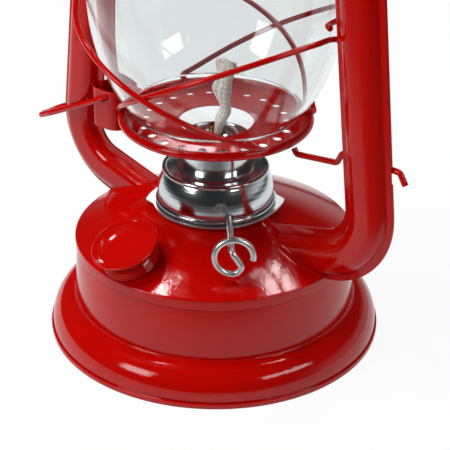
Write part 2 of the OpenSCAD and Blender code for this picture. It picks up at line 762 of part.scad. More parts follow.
// Section of one pressed half, on the +Y or -Y side of the seam; the bends are a hair thinner
module half_section(side, thinner) {
    intersection() {
        difference() {
            union() {
                body_section(-thinner);
                square([flange_w - 2 * thinner, 2 * (sheet - thinner)], center = true);
            }
            body_section(thinner - sheet);
        }
        translate([0, side * (tube_t + thinner)]) square([2 * flange_w, 2 * tube_t], center = true);
    }
}

// Places its children in a bend's own plane: X outwards, Y upwards, Z to the front
module in_bend(x, z) {
    translate([x, 0, z]) rotate([90, 0, 0]) children();
}

// Straight leg that starts at an angle of a bend and runs forwards or back along its tangent
module leg_from(angle, bend_r, length, back) {
    rotate([0, 0, angle]) translate([bend_r, 0, 0]) rotate([back ? 90 : -90, 0, 0])
        linear_extrude(length) children();
}

// Bend of a tube between two angles, let into the legs at both ends
module tube_bend(bend_r, start, end) {
    let_in = overlap / bend_r * 180 / PI;
    rotate([0, 0, start - let_in]) rotate_extrude(angle = end - start + 2 * let_in)
        translate([bend_r, 0]) children();
}

// Right foot leg with its body section grown, as a solid
module foot_leg_solid(grow) {
    in_bend(low_bend_x, low_bend_z) leg_from(leg_rise - 90, low_bend_r, foot_leg, true) {
        body_section(grow);
        square([flange_w + 2 * grow, 2 * (sheet + grow)], center = true);
    }
}

// Right tube half, from the dome to the crown; side 1 is the front half
module tube_half(side) {
    difference() {
        union() {
            in_bend(low_bend_x, low_bend_z) {
                leg_from(leg_rise - 90, low_bend_r, foot_leg, true) half_section(side, 0);
                tube_bend(low_bend_r, leg_rise - 90, tube_lean) half_section(side, thinning);
                leg_from(tube_lean, low_bend_r, long_leg, false) half_section(-side, 0);
            }
            in_bend(top_bend_x, top_bend_z) {
                tube_bend(top_bend_r, tube_lean, 90) half_section(side, thinning);
                leg_from(90, top_bend_r, top_bend_x, false) half_section(-side, 0);
            }
        }
        below_dome(seam);
        translate([0, 0, crown_bottom - 5]) cylinder(r = crown_r + seam, h = crown_h + 10, $fn = 128);
    }
}

// Slots in the rear half of the right tube in which the link wire rocks
module link_slots() {
    half = link_r + free_gap;
    inner_reach = link_pivot_x - link_bend_x;
    outer_reach = link_out_x - link_pivot_x;
    inner_rise = inner_reach * sin(link_swing);
    outer_fall = outer_reach * sin(link_swing);
    translate([link_pivot_x - 20, link_y - half - 1, link_pivot_z - half - free_gap])
        cube([20, 2 * half + 1, inner_rise + 2 * half + 2 * free_gap]);
    translate([link_pivot_x, link_y - half - 1, link_pivot_z - outer_fall - half - free_gap])
        cube([20, 2 * half + 1, outer_fall + 2 * half + 2 * free_gap]);
}

module left_tube_front() { color(red) mirror([1, 0, 0]) tube_half(1); }

module left_tube_rear() { color(red) mirror([1, 0, 0]) tube_half(-1); }

module right_tube_front() { color(red) tube_half(1); }

module right_tube_rear() { color(red) difference() { tube_half(-1); link_slots(); } }

// Sleeve rolled round the inner flange of the left tube, which carries the lever
module lever_bracket() {
    half = bracket_w / 2;
    root = inner_flange(lever_z) - 1.9;
    nose = lever_x - 0.3;
    slot = finger_w / 2 + lever_r + free_gap;
    corner = 5.5;
    color(red) difference() {
        translate([0, 0, bracket_bottom]) linear_extrude(bracket_top - bracket_bottom) difference() {
            sleeve_section(root, nose, half);
            sleeve_section(root, nose, half - bracket_t);
        }
        translate([-lever_x, -half - 1, lever_z]) rotate([-90, 0, 0])
            cylinder(r = lever_r + pin_gap, h = 2 * half + 2);
        translate([-nose, -slot, lever_z - lever_r - free_gap])
            cube([2 * half, 2 * slot, bracket_top - bracket_bottom]);
        difference() {
            translate([-root - half - 1, -half - 1, bracket_bottom - 1])
                cube([corner + 1, 2 * half + 2, corner + 1]);
            translate([corner - root - half, -half - 2, bracket_bottom + corner]) rotate([-90, 0, 0])
                cylinder(r = corner, h = 2 * half + 4);
        }
        mirror([1, 0, 0]) tube_solid(seam);
    }
}

// Obround outline of the sleeve between two distances from the axis
module sleeve_section(far, near, r) {
    translate([-far, -r]) square([far - near, 2 * r]);
    for (x = [far, near]) translate([-x, 0]) circle(r = r);
}

// Whole right tube near the bracket as a solid, grown
module tube_solid(grow) {
    in_bend(low_bend_x, low_bend_z) {
        rotate([0, 0, leg_rise - 90]) rotate_extrude(angle = tube_lean + 90 - leg_rise)
            translate([low_bend_r, 0]) tube_outline(grow);
        leg_from(tube_lean, low_bend_r, long_leg, false) tube_outline(grow);
    }
    in_bend(top_bend_x, top_bend_z) rotate([0, 0, tube_lean])
        rotate_extrude(angle = 90 - tube_lean) translate([top_bend_r, 0]) tube_outline(grow);
}

// Outline of both halves with their flanges
module tube_outline(grow) {
    body_section(grow);
    square([flange_w + 2 * grow, 2 * (sheet + grow)], center = true);
}

// Lift lever: one wire bent into a handle outside the tube, two pivots and a finger under the globe plate
module lift_lever() {
    out = [-cos(lever_droop), 0, -sin(lever_droop)];
    in = [cos(finger_rise), 0, sin(finger_rise)];
    pivot = [-lever_x, 0, lever_z];
    side = [0, 1, 0];
    half_eye = lever_eye_r * side;
    half_finger = finger_w / 2 * side;
    leg = lever_leg_y * side;
    neck = lever_length - lever_r - 2 * lever_eye_r;
    tip = lever_length - lever_r;
    butt = 0.2 * side;
    round_tip = finger_w / 2 - 0.9;
    round_eye = lever_eye_r - 1.6;
    color(red) translate(pivot) bent_wire([butt + finger_length * in, half_finger + finger_length * in,
        half_finger, leg, leg + neck * out, half_eye + tip * out, -half_eye + tip * out, -leg + neck * out,
        -leg, -half_finger, -half_finger + finger_length * in, -butt + finger_length * in],
        [0, round_tip, lever_bend, lever_bend, 5, round_eye,
            round_eye, 5, lever_bend, lever_bend, round_tip, 0],
        lever_r);
}

// Link wire that passes through the right tube and steadies the plate
module plate_link() {
    color(red) translate([0, link_y, 0]) bent_wire([[link_tip_x, 0, link_tip_z], [link_low_x, 0, link_low_z],
        [link_knee_x, 0, link_low_z + 2.6], [link_bend_x, 0, link_pivot_z], [link_out_x, 0, link_pivot_z],
        [link_end_x, 0, link_end_z]], [0, 1.6, 2, 2, 2, 0], link_r);
}

// Lower pan of the crown
module crown_pan() {
    mid = crown_z;
    hole = chimney_r + free_gap;
    color(red) difference() {
        turned([[hole, crown_bottom], [crown_r - 3, crown_bottom], [crown_r, crown_bottom + 3],
            [crown_r, mid], [crown_r - sheet, mid], [crown_r - sheet, crown_bottom + 3.2],
            [crown_r - 3.2, crown_bottom + sheet], [hole, crown_bottom + sheet]]);
        crown_ports();
    }
}

// Upper cover of the crown
module crown_cover() {
    mid = crown_z + seam;
    hole = chimney_r + free_gap;
    color(red) difference() {
        turned([[hole, crown_top], [crown_r - 6, crown_top], [crown_r, crown_top - 5], [crown_r, mid],
            [crown_r - sheet, mid], [crown_r - sheet, crown_top - 5.2], [crown_r - 6.2, crown_top - sheet],
            [hole, crown_top - sheet]]);
        crown_ports();
    }
}

// Openings through which the tubes blow into the crown
module crown_ports() {
    for (side = [0, 1]) mirror([side, 0, 0]) translate([0, 0, crown_z]) rotate([0, 90, 0])
        cylinder(r = tube_t / 2 - sheet, h = crown_r + 5);
}

// Sliding chimney with vent holes under the hood
module chimney_tube() {
    bottom = bell_z + bell_h;
    color(red) difference() {
        ring(chimney_r, chimney_r - sheet, bottom, chimney_top - bottom);
        for (k = [0:vent_count - 1]) rotate([0, 0, 360 * k / vent_count])
            translate([0, 0, vent_z]) rotate([0, 90, 0]) cylinder(r = vent_d / 2, h = chimney_r + 5);
    }
}

// Bell at the foot of the chimney, which rests on the globe
module globe_bell() {
    inner_r = globe_top_r - glass_t - 2;
    color(red) turned([[bell_r, bell_z - bell_drop], [bell_r + sheet, bell_z - bell_drop],
        [bell_r + sheet, bell_z + sheet], [inner_r + sheet, bell_z + sheet],
        [chimney_r, bell_z + bell_h - seam], [chimney_r - sheet, bell_z + bell_h - seam],
        [inner_r, bell_z], [bell_r, bell_z]]);
}

// Domed hood with a rolled rim
module hood() {
    outer = [for (i = [0:hood_steps]) let (r = hood_edge + (hood_top_r - hood_edge) * i / hood_steps)
        [r, hood_line(r)]];
    color(red) {
        bead(hood_edge, hood_z, hood_rim);
        turned(concat(outer, [[0, hood_z + hood_h], [0, hood_z + hood_h - hood_t]],
            [for (i = [hood_steps:-1:0]) outer[i] - [0, hood_t]]));
    }
}

// Wire loop on the hood for a finger, with the washer that rivets it down
module finger_loop() {
    base = hood_z + hood_h + seam;
    washer = 1.6;
    arch = loop_w / 2 + loop_r;
    root = 4.5;
    stem = base + washer + 2;
    spread = stem + arch * 0.6;
    top = spread + arch + 2;
    color(red) {
        bent_wire([[-root, 0, base + 0.4], [-root, 0, stem], [-arch, 0, spread], [-arch, 0, top],
            [arch, 0, top], [arch, 0, spread], [root, 0, stem], [root, 0, base + 0.4]],
            [0, 3, 4, arch - 1, arch - 1, 4, 3, 0], loop_r);
        translate([0, 0, base]) cylinder(r = hood_top_r - 1, h = washer);
    }
}

// Ears on the outer flanges that carry the bail
module bail_ears() {
    color(red) for (side = [0, 1]) mirror([side, 0, 0]) difference() {
        union() {
            translate([ear_mid - ear_t / 2, 0, bail_z]) rotate([0, 90, 0]) cylinder(r = ear_r, h = ear_t);
            translate([ear_x - 6, -1.6, bail_z - ear_r]) cube([ear_mid - ear_x + 6, 3.2, 2 * ear_r - 3.4]);
        }
        translate([ear_mid - bail_gap, 0, bail_z]) rotate([0, 90, 0])
            cylinder(r = bail_r + pin_gap, h = 2 * bail_gap);
        tube_solid(seam);
    }
}

// Bail handle, hanging behind the lantern against the guard
module bail_handle() {
    pin_in = ear_mid - ear_t / 2 - 1.2;
    color("#5c5f61") translate([0, 0, bail_z]) rotate([-180 + bail_hang, 0, 0]) {
        for (side = [-1, 1]) {
            translate([side * bail_x, 0, 0]) sphere(r = bail_r);
            translate([side * (pin_in + bail_x) / 2, 0, 0]) rotate([0, 90, 0])
                cylinder(r = bail_r, h = bail_x - pin_in, center = true);
            translate([side * bail_x, 0, 0]) cylinder(r = bail_r, h = bail_leg);
        }
        translate([0, 0, bail_leg]) rotate([90, 0, 0]) rotate_extrude(angle = 180, $fn = 128)
            translate([bail_x, 0]) circle(r = bail_r, $fn = 32);
    }
}

foot_skirt();
tank_shell();
tank_dome();
filler_neck();
filler_cap();
cap_seal();
burner_seat();
burner_shell();
burner_deck();
draught_neck();
burner_dome();
wick_tube();
shaft_bearer();
winder_shaft();
wick_wheels();
wick();
globe_plate();
globe();
guard_front_outer();
guard_front_inner();
guard_rear_outer();
guard_rear_inner();
left_tube_front();
left_tube_rear();
right_tube_front();
right_tube_rear();
lever_bracket();
lift_lever();
plate_link();
crown_pan();
crown_cover();
chimney_tube();
globe_bell();
hood();
finger_loop();
bail_ears();
bail_handle();
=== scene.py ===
"""Looks of a hurricane lantern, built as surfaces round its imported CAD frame.

The lantern's shapes are worked out in millimetres; the sidebar and the stage use metres. +Z is up, the
side tubes stand in the XZ plane and the filler cap faces -Y.
"""

import json
import math
from types import SimpleNamespace

import bpy
import numpy as np
from bpy.props import FloatProperty, FloatVectorProperty, IntProperty, PointerProperty
from mathutils import Matrix


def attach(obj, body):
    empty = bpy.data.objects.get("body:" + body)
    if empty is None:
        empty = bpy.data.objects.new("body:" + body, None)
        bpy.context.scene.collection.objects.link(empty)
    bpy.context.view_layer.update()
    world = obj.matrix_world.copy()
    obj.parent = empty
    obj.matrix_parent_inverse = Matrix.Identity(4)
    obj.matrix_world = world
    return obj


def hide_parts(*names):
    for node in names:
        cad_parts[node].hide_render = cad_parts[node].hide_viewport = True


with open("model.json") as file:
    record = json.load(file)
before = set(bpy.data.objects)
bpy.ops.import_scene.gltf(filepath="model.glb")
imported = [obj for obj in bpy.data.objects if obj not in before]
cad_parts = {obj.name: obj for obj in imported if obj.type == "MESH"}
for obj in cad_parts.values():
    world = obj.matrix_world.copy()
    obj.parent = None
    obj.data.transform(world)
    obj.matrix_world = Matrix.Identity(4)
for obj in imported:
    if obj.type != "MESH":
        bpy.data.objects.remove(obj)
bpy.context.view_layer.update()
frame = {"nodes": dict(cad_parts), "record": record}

bl_info = {
    "name": "Hurricane Lantern",
    "version": (1, 0, 0),
    "blender": (4, 5, 0),
    "location": "3D View > Sidebar > Lantern",
    "description": "Builds the visible surfaces and materials of a hurricane lantern",
    "category": "Add Mesh",
}


# Sizes and colours


def length(name, description, millimetres):
    """A length shown in metres in the sidebar."""
    return FloatProperty(
        name=name, description=description, default=millimetres / 1000, unit="LENGTH", precision=4
    )


def angle(name, description, degrees):
    """An angle, shown in degrees in the sidebar."""
    return FloatProperty(name=name, description=description, default=math.radians(degrees), unit="ROTATION")


def colour(name, description, code):
    """A colour given as an sRGB hex code."""
    return FloatVectorProperty(
        name=name, description=description, subtype="COLOR", size=4, min=0, max=1, default=rgb(code)
    )


def rgb(code):
    """Linear colour with full opacity from an sRGB hex code."""
    parts = [int(code[i : i + 2], 16) / 255 for i in (1, 3, 5)]
    return tuple(c / 12.92 if c <= 0.04045 else ((c + 0.055) / 1.055) ** 2.4 for c in parts) + (1.0,)


class LanternSizes(bpy.types.PropertyGroup):
    """Sizes of the visible surfaces, most of them the CAD part's own."""

    foot_d: length("Foot diameter", "Outside of the rolled hem", 150)
    foot_h: length("Foot height", "Height at which the flare meets the wall", 16.2)
    hem_h: length("Hem height", "Thickness of the rolled hem", 2.4)
    tank_d: length("Tank diameter", "Tank wall at its floor", 127)
    tank_top_d: length("Tank top diameter", "Tank wall at its shoulder", 124)
    floor_z: length("Tank floor", "Height of the tank floor", 8)
    shoulder_z: length("Shoulder height", "Height of the shoulder", 45)
    lip_h: length("Lip depth", "Depth of the dome's crimped lip", 4.4)
    dome_rise: length("Dome rise", "From shoulder to throat", 14.4)
    dome_bulge: length("Dome bulge", "Above a straight cone", 1.5)
    throat_d: length("Throat diameter", "Opening under the burner", 44)
    sheet: length("Sheet", "Thickness of the pressed sheet", 0.6)
    filler_r: length("Filler distance", "From the axis, on the dome", 51.4)
    filler_angle: angle("Filler direction", "About the axis", -93)
    cap_d: length("Cap diameter", "Rim of the cap's dished top", 29)
    cap_skirt_d: length("Cap skirt", "Outside of the skirt between its ribs", 23.4)
    cap_z: length("Cap height", "Top of the skirt above the dome, along the filler", 7.8)
    cap_beads: IntProperty(name="Cap beads", description="Soft beads round the cap's skirt", default=3)
    tube_reach: length("Tube reach", "Axis to tube, above the lower bend", 81.3)
    tube_lean: angle("Tube lean", "Lean of the long leg", 6.8)
    leg_rise: angle("Foot leg rise", "Rise of the foot leg", 15)
    low_bend_r: length("Lower bend", "Radius to the tube's middle", 24)
    low_bend_z: length("Lower bend height", "Middle of the lower bend", 78.9)
    top_bend_r: length("Upper bend", "Radius to the tube's middle", 22)
    crown_z: length("Crown height", "Middle of the crown", 247.5)
    flange_w: length("Flange width", "Tube across its seam flanges", 23.3)
    tube_w: length("Tube width", "Round body of the tube", 16.8)
    tube_t: length("Tube thickness", "Round body of the tube", 12)
    plate_z: length("Globe plate height", "Middle of the rolled rim", 100.2)
    plate_d: length("Globe plate diameter", "Outside of the rolled rim", 84.4)
    rim_t: length("Rim thickness", "Thickness of the rolled rim", 3.8)
    globe_foot_d: length("Globe foot", "Globe diameter at its foot", 73.6)
    globe_d: length("Globe diameter", "Widest part of the globe", 108)
    globe_top_d: length("Globe top", "Globe diameter at its top", 60)
    globe_belly_h: length("Belly height", "Widest part above the globe's foot", 53)
    globe_h: length("Globe height", "Whole height of the globe", 101.5)
    glass_t: length("Glass thickness", "Wall of the globe", 2.2)
    guard_wire: length("Guard wire", "Diameter of the guard wires", 2.4)
    outer_foot_angle: angle("Outer guard feet", "From the side tubes", 27)
    inner_foot_angle: angle("Inner guard feet", "From the side tubes", 38)
    globe_lift: length("Globe lift", "Travel of the globe", 9)
    wick_w: length("Wick width", "Flat wick", 12)
    wick_t: length("Wick thickness", "Flat wick", 2.8)
    wick_top: length("Wick top", "Height of the frayed end", 127)
    winder_angle: angle("Winder direction", "From the front towards the right", 41.6)
    guard_steps: IntProperty(name="Guard steps", description="Points along a guard wire", default=90)


class LanternColours(bpy.types.PropertyGroup):
    """Colours of the lantern's materials."""

    enamel: colour("Enamel", "Gloss red enamel", "#b40500")
    enamel_deep: colour("Deep enamel", "Where the enamel lies thick", "#8e0300")
    nickel: colour("Nickel", "Nickel plate of the burner", "#ccd4d7")
    zinc: colour("Zinc", "Zinc plate of the wires", "#e2e4e4")
    brass: colour("Brass", "Wick tube", "#b8964c")
    glass: colour("Glass", "Clear glass of the globe", "#f1f4f4")
    glass_shade: colour("Glass shade", "Light that each face of the glass lets through", "#b6b9b9")
    cotton: colour("Cotton", "Woven wick", "#efe9e0")
    # Painted shade: the weave's hollows are tinted towards this darker colour
    cotton_painted_shade: colour("Wick shade", "Hollows between the wick's strands", "#ab9f92")
    rubber: colour("Seal", "Rubber seal of the cap", "#241f1c")
    floor: colour("Floor", "Plain pale floor", "#dcdcdc")


def sizes_of(context):
    """All sizes of the scene, lengths in millimetres and angles in degrees."""
    group = context.scene.lantern_sizes
    scales = {"LENGTH": 1000, "ROTATION": math.degrees(1)}
    values = {}
    for key in LanternSizes.__annotations__:
        kind = LanternSizes.bl_rna.properties[key].unit
        values[key] = getattr(group, key) * scales.get(kind, 1)
    return SimpleNamespace(**values)


# Surfaces


def unit(v):
    """The vector at length one."""
    v = np.asarray(v, float)
    return v / np.linalg.norm(v)


def arc(x, y, r, start, end, count):
    """Points on a circle about (x, y) between two angles in degrees."""
    t = np.radians(np.linspace(start, end, count))
    return np.stack([x + r * np.cos(t), y + r * np.sin(t)], axis=1)


def bend_path(points, radii, steps=7):
    """A path in 2D or 3D whose corners are arcs tangent to both sides, each with its own radius.

    A corner that is almost straight stays a point, and an arc takes up less than half of each side.
    """
    almost_straight, most = 1.565, 0.49
    points = [np.asarray(p, float) for p in points]
    path = [points[0]]
    for i in range(1, len(points) - 1):
        before, after = points[i - 1] - points[i], points[i + 1] - points[i]
        u, v = unit(before), unit(after)
        half = 0.5 * math.acos(np.clip(u @ v, -1, 1))
        if radii[i] <= 0 or half > almost_straight:
            path.append(points[i])
            continue
        shorter = min(np.linalg.norm(before), np.linalg.norm(after))
        cut = min(radii[i] / math.tan(half), most * shorter)
        r = cut * math.tan(half)
        middle = points[i] + unit(u + v) * r / math.sin(half)
        a, b = points[i] + u * cut - middle, points[i] + v * cut - middle
        sweep = math.acos(np.clip(a @ b / r**2, -1, 1))
        t = np.linspace(0, 1, steps + 1)[:, None]
        blend = np.sin((1 - t) * sweep) * a + np.sin(t * sweep) * b
        path.extend(middle + blend / math.sin(sweep))
    path.append(points[-1])
    return np.array(path)


def outline(corners, steps=5):
    """A closed outline of (x, y, corner radius) corners with rounded corners."""
    points = [np.array(c[:2], float) for c in corners]
    first = 0.5 * (points[-1] + points[0])
    path = bend_path([first, *points, first], [0, *[c[2] for c in corners], 0], steps)
    return path[:-1]


def spaced(path, step):
    """The same open path with points about one step apart, measured along it."""
    lengths = np.concatenate([[0], np.cumsum(np.linalg.norm(np.diff(path, axis=0), axis=1))])
    at = np.linspace(0, lengths[-1], max(2, int(lengths[-1] / step)))
    return np.stack([np.interp(at, lengths, path[:, k]) for k in range(path.shape[1])], axis=1)


def smooth_path(path, rounds):
    """Chaikin's corner cutting: every leg gives its points at a quarter and three quarters."""
    for _ in range(rounds):
        a, b = path[:-1], path[1:]
        cut = np.stack([0.75 * a + 0.25 * b, 0.25 * a + 0.75 * b], axis=1).reshape(-1, path.shape[1])
        path = np.concatenate([path[:1], cut, path[-1:]])
    return path


def turned(profile, segments):
    """Surface of revolution: each (radius, height) of a closed profile goes round the Z axis."""
    t = np.linspace(0, 2 * np.pi, segments, endpoint=False)[:, None]
    r, z = profile[:, 0][None, :], profile[:, 1][None, :]
    return np.stack([r * np.cos(t), r * np.sin(t), z + 0 * t], axis=2)


def frames_along(path):
    """Tangents, and normals carried along without twist: each loses its part along the next tangent."""
    tangents = np.gradient(path, axis=0)
    tangents /= np.linalg.norm(tangents, axis=1)[:, None]
    not_along = [0.31, 0.17, 0.93]
    n = np.cross(tangents[0], not_along)
    normals = []
    for t in tangents:
        n = unit(n - (n @ t) * t)
        normals.append(n)
    return tangents, np.array(normals)


def wire_surface(path, radius, sides=20):
    """A round wire: a circle carried along a path, with slightly domed cut ends."""
    tangents, normals = frames_along(path)
    sides_dir = np.cross(tangents, normals)
    t = np.linspace(0, 2 * np.pi, sides, endpoint=False)
    ring = np.cos(t)[None, :, None] * normals[:, None, :] + np.sin(t)[None, :, None] * sides_dir[:, None, :]
    rows = path[:, None, :] + radius * ring
    # How far each ring of a domed end stands out and how wide it is, in shares of the radius
    ends = ((0.16, 0.88), (0.06, 0.98))
    head = [path[0] + radius * (wide * ring[0] - out * tangents[0]) for out, wide in ends]
    tail = [path[-1] + radius * (wide * ring[-1] + out * tangents[-1]) for out, wide in ends[::-1]]
    return np.concatenate([head, rows, tail])


def mesh_object(name, grid, wrap_rows=True, uv=None):
    """A smooth closed mesh from a grid of points in millimetres.

    Neighbours in the grid make quads. Rows that do not wrap are closed with a flat cap at each end, and
    the faces are turned outwards by the sign of the volume that they enclose.
    """
    rows, columns = grid.shape[:2]
    i = np.arange(rows if wrap_rows else rows - 1)[:, None]
    j = np.arange(columns)[None, :]
    a, b = i * columns + j, i * columns + (j + 1) % columns
    c, d = ((i + 1) % rows) * columns + (j + 1) % columns, ((i + 1) % rows) * columns + j
    quads = np.stack([a + 0 * b, b, c, d], axis=2).reshape(-1, 4)
    points = grid.reshape(-1, 3)
    caps = []
    if not wrap_rows:
        caps = [list(range(columns))[::-1], list(range((rows - 1) * columns, rows * columns))]
    p = points[quads]
    volume = np.einsum("ij,ij->i", p[:, 0], np.cross(p[:, 1], p[:, 2]) + np.cross(p[:, 2], p[:, 3])).sum()
    for cap in caps:
        fan = points[cap]
        volume += (np.cross(fan[1:-1], fan[2:]) @ fan[0]).sum()
    if volume < 0:
        quads, caps = quads[:, ::-1], [cap[::-1] for cap in caps]
    mesh = bpy.data.meshes.new(name)
    mesh.from_pydata((points / 1000).tolist(), [], quads.tolist() + caps)
    mesh.polygons.foreach_set("use_smooth", [True] * len(quads) + [False] * len(caps))
    if uv is not None:
        layer = mesh.uv_layers.new(name="UVMap")
        index = np.zeros(len(mesh.loops), dtype=np.int32)
        mesh.loops.foreach_get("vertex_index", index)
        layer.data.foreach_set("uv", uv.reshape(-1, 2)[index].ravel())
    mesh.update()
    obj = bpy.data.objects.new(name, mesh)
    bpy.context.scene.collection.objects.link(obj)
    return obj


def fit_piece(obj, body, slot, finish, *nodes):
    """Lets a piece ride on its body in place of CAD nodes, with its material."""
    obj.data.materials.append(finish)
    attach(obj, body)
    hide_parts(*nodes)


# Materials


def add(tree, kind, values=None, **settings):
    """Adds one shader node, sets its inputs and links those that are given as sockets."""
    made = tree.nodes.new(kind)
    for key, value in settings.items():
        setattr(made, key, value)
    for key, value in (values or {}).items():
        if isinstance(value, bpy.types.NodeSocket):
            tree.links.new(value, made.inputs[key])
        else:
            made.inputs[key].default_value = value
    return made


def per_mm(size):
    """Scale of a texture with features about this many millimetres across, on coordinates in metres."""
    return 1000 / size


def new_material(name):
    """An empty node material, its tree, its output and the object coordinates."""
    made = bpy.data.materials.new(name)
    made.use_nodes = True
    tree = made.node_tree
    tree.nodes.clear()
    out = add(tree, "ShaderNodeOutputMaterial")
    place = add(tree, "ShaderNodeTexCoord").outputs["Object"]
    return made, tree, out, place


def red_enamel(name, colours):
    """Stoved gloss enamel on pressed steel: deep red, darker where it pooled, with sharp highlights.

    Its orange peel, waves of about 1.4 mm, breaks the edges of the highlights.
    """
    made, tree, out, place = new_material(name)
    pooled = add(tree, "ShaderNodeTexNoise", {"Vector": place, "Scale": per_mm(26.3), "Detail": 3})
    share = add(tree, "ShaderNodeMapRange", {"Value": pooled.outputs["Fac"], "To Min": 0.0, "To Max": 0.35})
    tint = add(
        tree,
        "ShaderNodeMixRGB",
        {"Fac": share.outputs["Result"], "Color1": colours.enamel, "Color2": colours.enamel_deep},
    )
    peel = add(tree, "ShaderNodeTexNoise", {"Vector": place, "Scale": per_mm(1.43), "Detail": 1})
    bump = add(
        tree, "ShaderNodeBump", {"Height": peel.outputs["Fac"], "Strength": 0.22, "Distance": 0.0002}
    )
    haze = add(tree, "ShaderNodeMapRange", {"Value": pooled.outputs["Fac"], "To Min": 0.05, "To Max": 0.11})
    paint = add(
        tree,
        "ShaderNodeBsdfPrincipled",
        {
            "Base Color": tint.outputs["Color"],
            "Roughness": haze.outputs["Result"],
            "IOR": 1.5,
            "Specular IOR Level": 0.36,
            "Normal": bump.outputs["Normal"],
        },
    )
    tree.links.new(paint.outputs["BSDF"], out.inputs["Surface"])
    return made


def plated_metal(name, tint, roughness, line_gap):
    """Bright plated metal with fine drawing lines round the axis, this far apart, and a cloudy polish."""
    made, tree, out, place = new_material(name)
    along = per_mm(33.3)
    stretch = add(tree, "ShaderNodeMapping", {"Vector": place, "Scale": (along, along, per_mm(line_gap))})
    lines = add(tree, "ShaderNodeTexNoise", {"Vector": stretch.outputs["Vector"], "Scale": 1, "Detail": 2})
    cloud = add(tree, "ShaderNodeTexNoise", {"Vector": place, "Scale": per_mm(8.33), "Detail": 3})
    polish = add(
        tree,
        "ShaderNodeMapRange",
        {"Value": cloud.outputs["Fac"], "To Min": roughness[0], "To Max": roughness[1]},
    )
    bump = add(
        tree, "ShaderNodeBump", {"Height": lines.outputs["Fac"], "Strength": 0.03, "Distance": 0.0003}
    )
    metal = add(
        tree,
        "ShaderNodeBsdfPrincipled",
        {
            "Base Color": tint,
            "Metallic": 1.0,
            "Roughness": polish.outputs["Result"],
            "Normal": bump.outputs["Normal"],
        },
    )
    tree.links.new(metal.outputs["BSDF"], out.inputs["Surface"])
    return made


def nickel_plate(name, colours):
    """Polished nickel plate on pressed brass: a clear, cool mirror."""
    return plated_metal(name, colours.nickel, (0.12, 0.2), 0.667)


def zinc_plate(name, colours):
    """Zinc plate on drawn steel wire: pale, with soft wide highlights."""
    return plated_metal(name, colours.zinc, (0.28, 0.42), 1.43)


def sheet_brass(name, colours):
    """Dull brass sheet of the wick tube: yellow, with blurred reflections."""
    return plated_metal(name, colours.brass, (0.25, 0.4), 1.11)


def clear_glass(name, colours):
    """Clear blown soda glass, a little wavy: the straight lines behind it bend slightly.

    Shadow rays pass it, so that the inside stays lit.
    """
    made, tree, out, place = new_material(name)
    wave = add(tree, "ShaderNodeTexNoise", {"Vector": place, "Scale": per_mm(45.5), "Detail": 1})
    bump = add(tree, "ShaderNodeBump", {"Height": wave.outputs["Fac"], "Strength": 0.05, "Distance": 0.002})
    glass = add(
        tree,
        "ShaderNodeBsdfPrincipled",
        {
            "Base Color": colours.glass,
            "Roughness": 0.01,
            "IOR": 1.45,
            "Transmission Weight": 1.0,
            "Normal": bump.outputs["Normal"],
        },
    )
    light = add(tree, "ShaderNodeLightPath")
    through = add(tree, "ShaderNodeBsdfTransparent", {"Color": colours.glass_shade})
    mix = add(
        tree,
        "ShaderNodeMixShader",
        {0: light.outputs["Is Shadow Ray"], 1: glass.outputs["BSDF"], 2: through.outputs["BSDF"]},
    )
    tree.links.new(mix.outputs["Shader"], out.inputs["Surface"])
    return made


def woven_cotton(name, colours):
    """Woven cotton tape: ribs of warp along the wick, a looser weft across and a fuzz on both.

    The piece's own UV map is in millimetres, and a stripe of the wave texture at scale 1 is pi / 10 long.
    The hollows of the weave are tinted darker: painted shade.
    """
    made, tree, out, place = new_material(name)
    uv = add(tree, "ShaderNodeTexCoord").outputs["UV"]
    stripe, warp_gap, weft_gap = math.pi / 10, 1.428, 2.244
    warp = add(
        tree,
        "ShaderNodeTexWave",
        {"Vector": uv, "Scale": stripe / warp_gap, "Distortion": 3.0, "Detail": 2},
        bands_direction="X",
    )
    weft = add(
        tree,
        "ShaderNodeTexWave",
        {"Vector": uv, "Scale": stripe / weft_gap, "Distortion": 7.0, "Detail": 3},
        bands_direction="Y",
    )
    thin = add(tree, "ShaderNodeMath", {0: weft.outputs["Fac"], 1: 0.45}, operation="MULTIPLY")
    weave = add(tree, "ShaderNodeMath", {0: warp.outputs["Fac"], 1: thin.outputs["Value"]}, operation="ADD")
    # Painted shade: the lower the weave, the more the darker cotton colour is mixed in
    painted_hollow_shade = add(tree, "ShaderNodeMapRange", {"Value": weave.outputs["Value"], "From Max": 1.2})
    tint = add(
        tree,
        "ShaderNodeMixRGB",
        {"Fac": painted_hollow_shade.outputs["Result"], "Color1": colours.cotton_painted_shade, "Color2": colours.cotton},
    )
    fuzz = add(tree, "ShaderNodeTexNoise", {"Vector": place, "Scale": per_mm(0.667), "Detail": 4})
    height = add(
        tree, "ShaderNodeMath", {0: weave.outputs["Value"], 1: fuzz.outputs["Fac"]}, operation="ADD"
    )
    bump = add(
        tree, "ShaderNodeBump", {"Height": height.outputs["Value"], "Strength": 0.6, "Distance": 0.0004}
    )
    cloth = add(
        tree,
        "ShaderNodeBsdfPrincipled",
        {
            "Base Color": tint.outputs["Color"],
            "Roughness": 0.9,
            "Sheen Weight": 0.3,
            "Specular IOR Level": 0.15,
            "Normal": bump.outputs["Normal"],
        },
    )
    tree.links.new(cloth.outputs["BSDF"], out.inputs["Surface"])
    return made


def seal_rubber(name, colours):
    """Matt black rubber of the cap's seal, with a fine grain."""
    made, tree, out, place = new_material(name)
    grain = add(tree, "ShaderNodeTexNoise", {"Vector": place, "Scale": per_mm(1.25), "Detail": 2})
    bump = add(
        tree, "ShaderNodeBump", {"Height": grain.outputs["Fac"], "Strength": 0.1, "Distance": 0.0003}
    )
    rubber = add(
        tree,
        "ShaderNodeBsdfPrincipled",
        {"Base Color": colours.rubber, "Roughness": 0.8, "Normal": bump.outputs["Normal"]},
    )
    tree.links.new(rubber.outputs["BSDF"], out.inputs["Surface"])
    return made


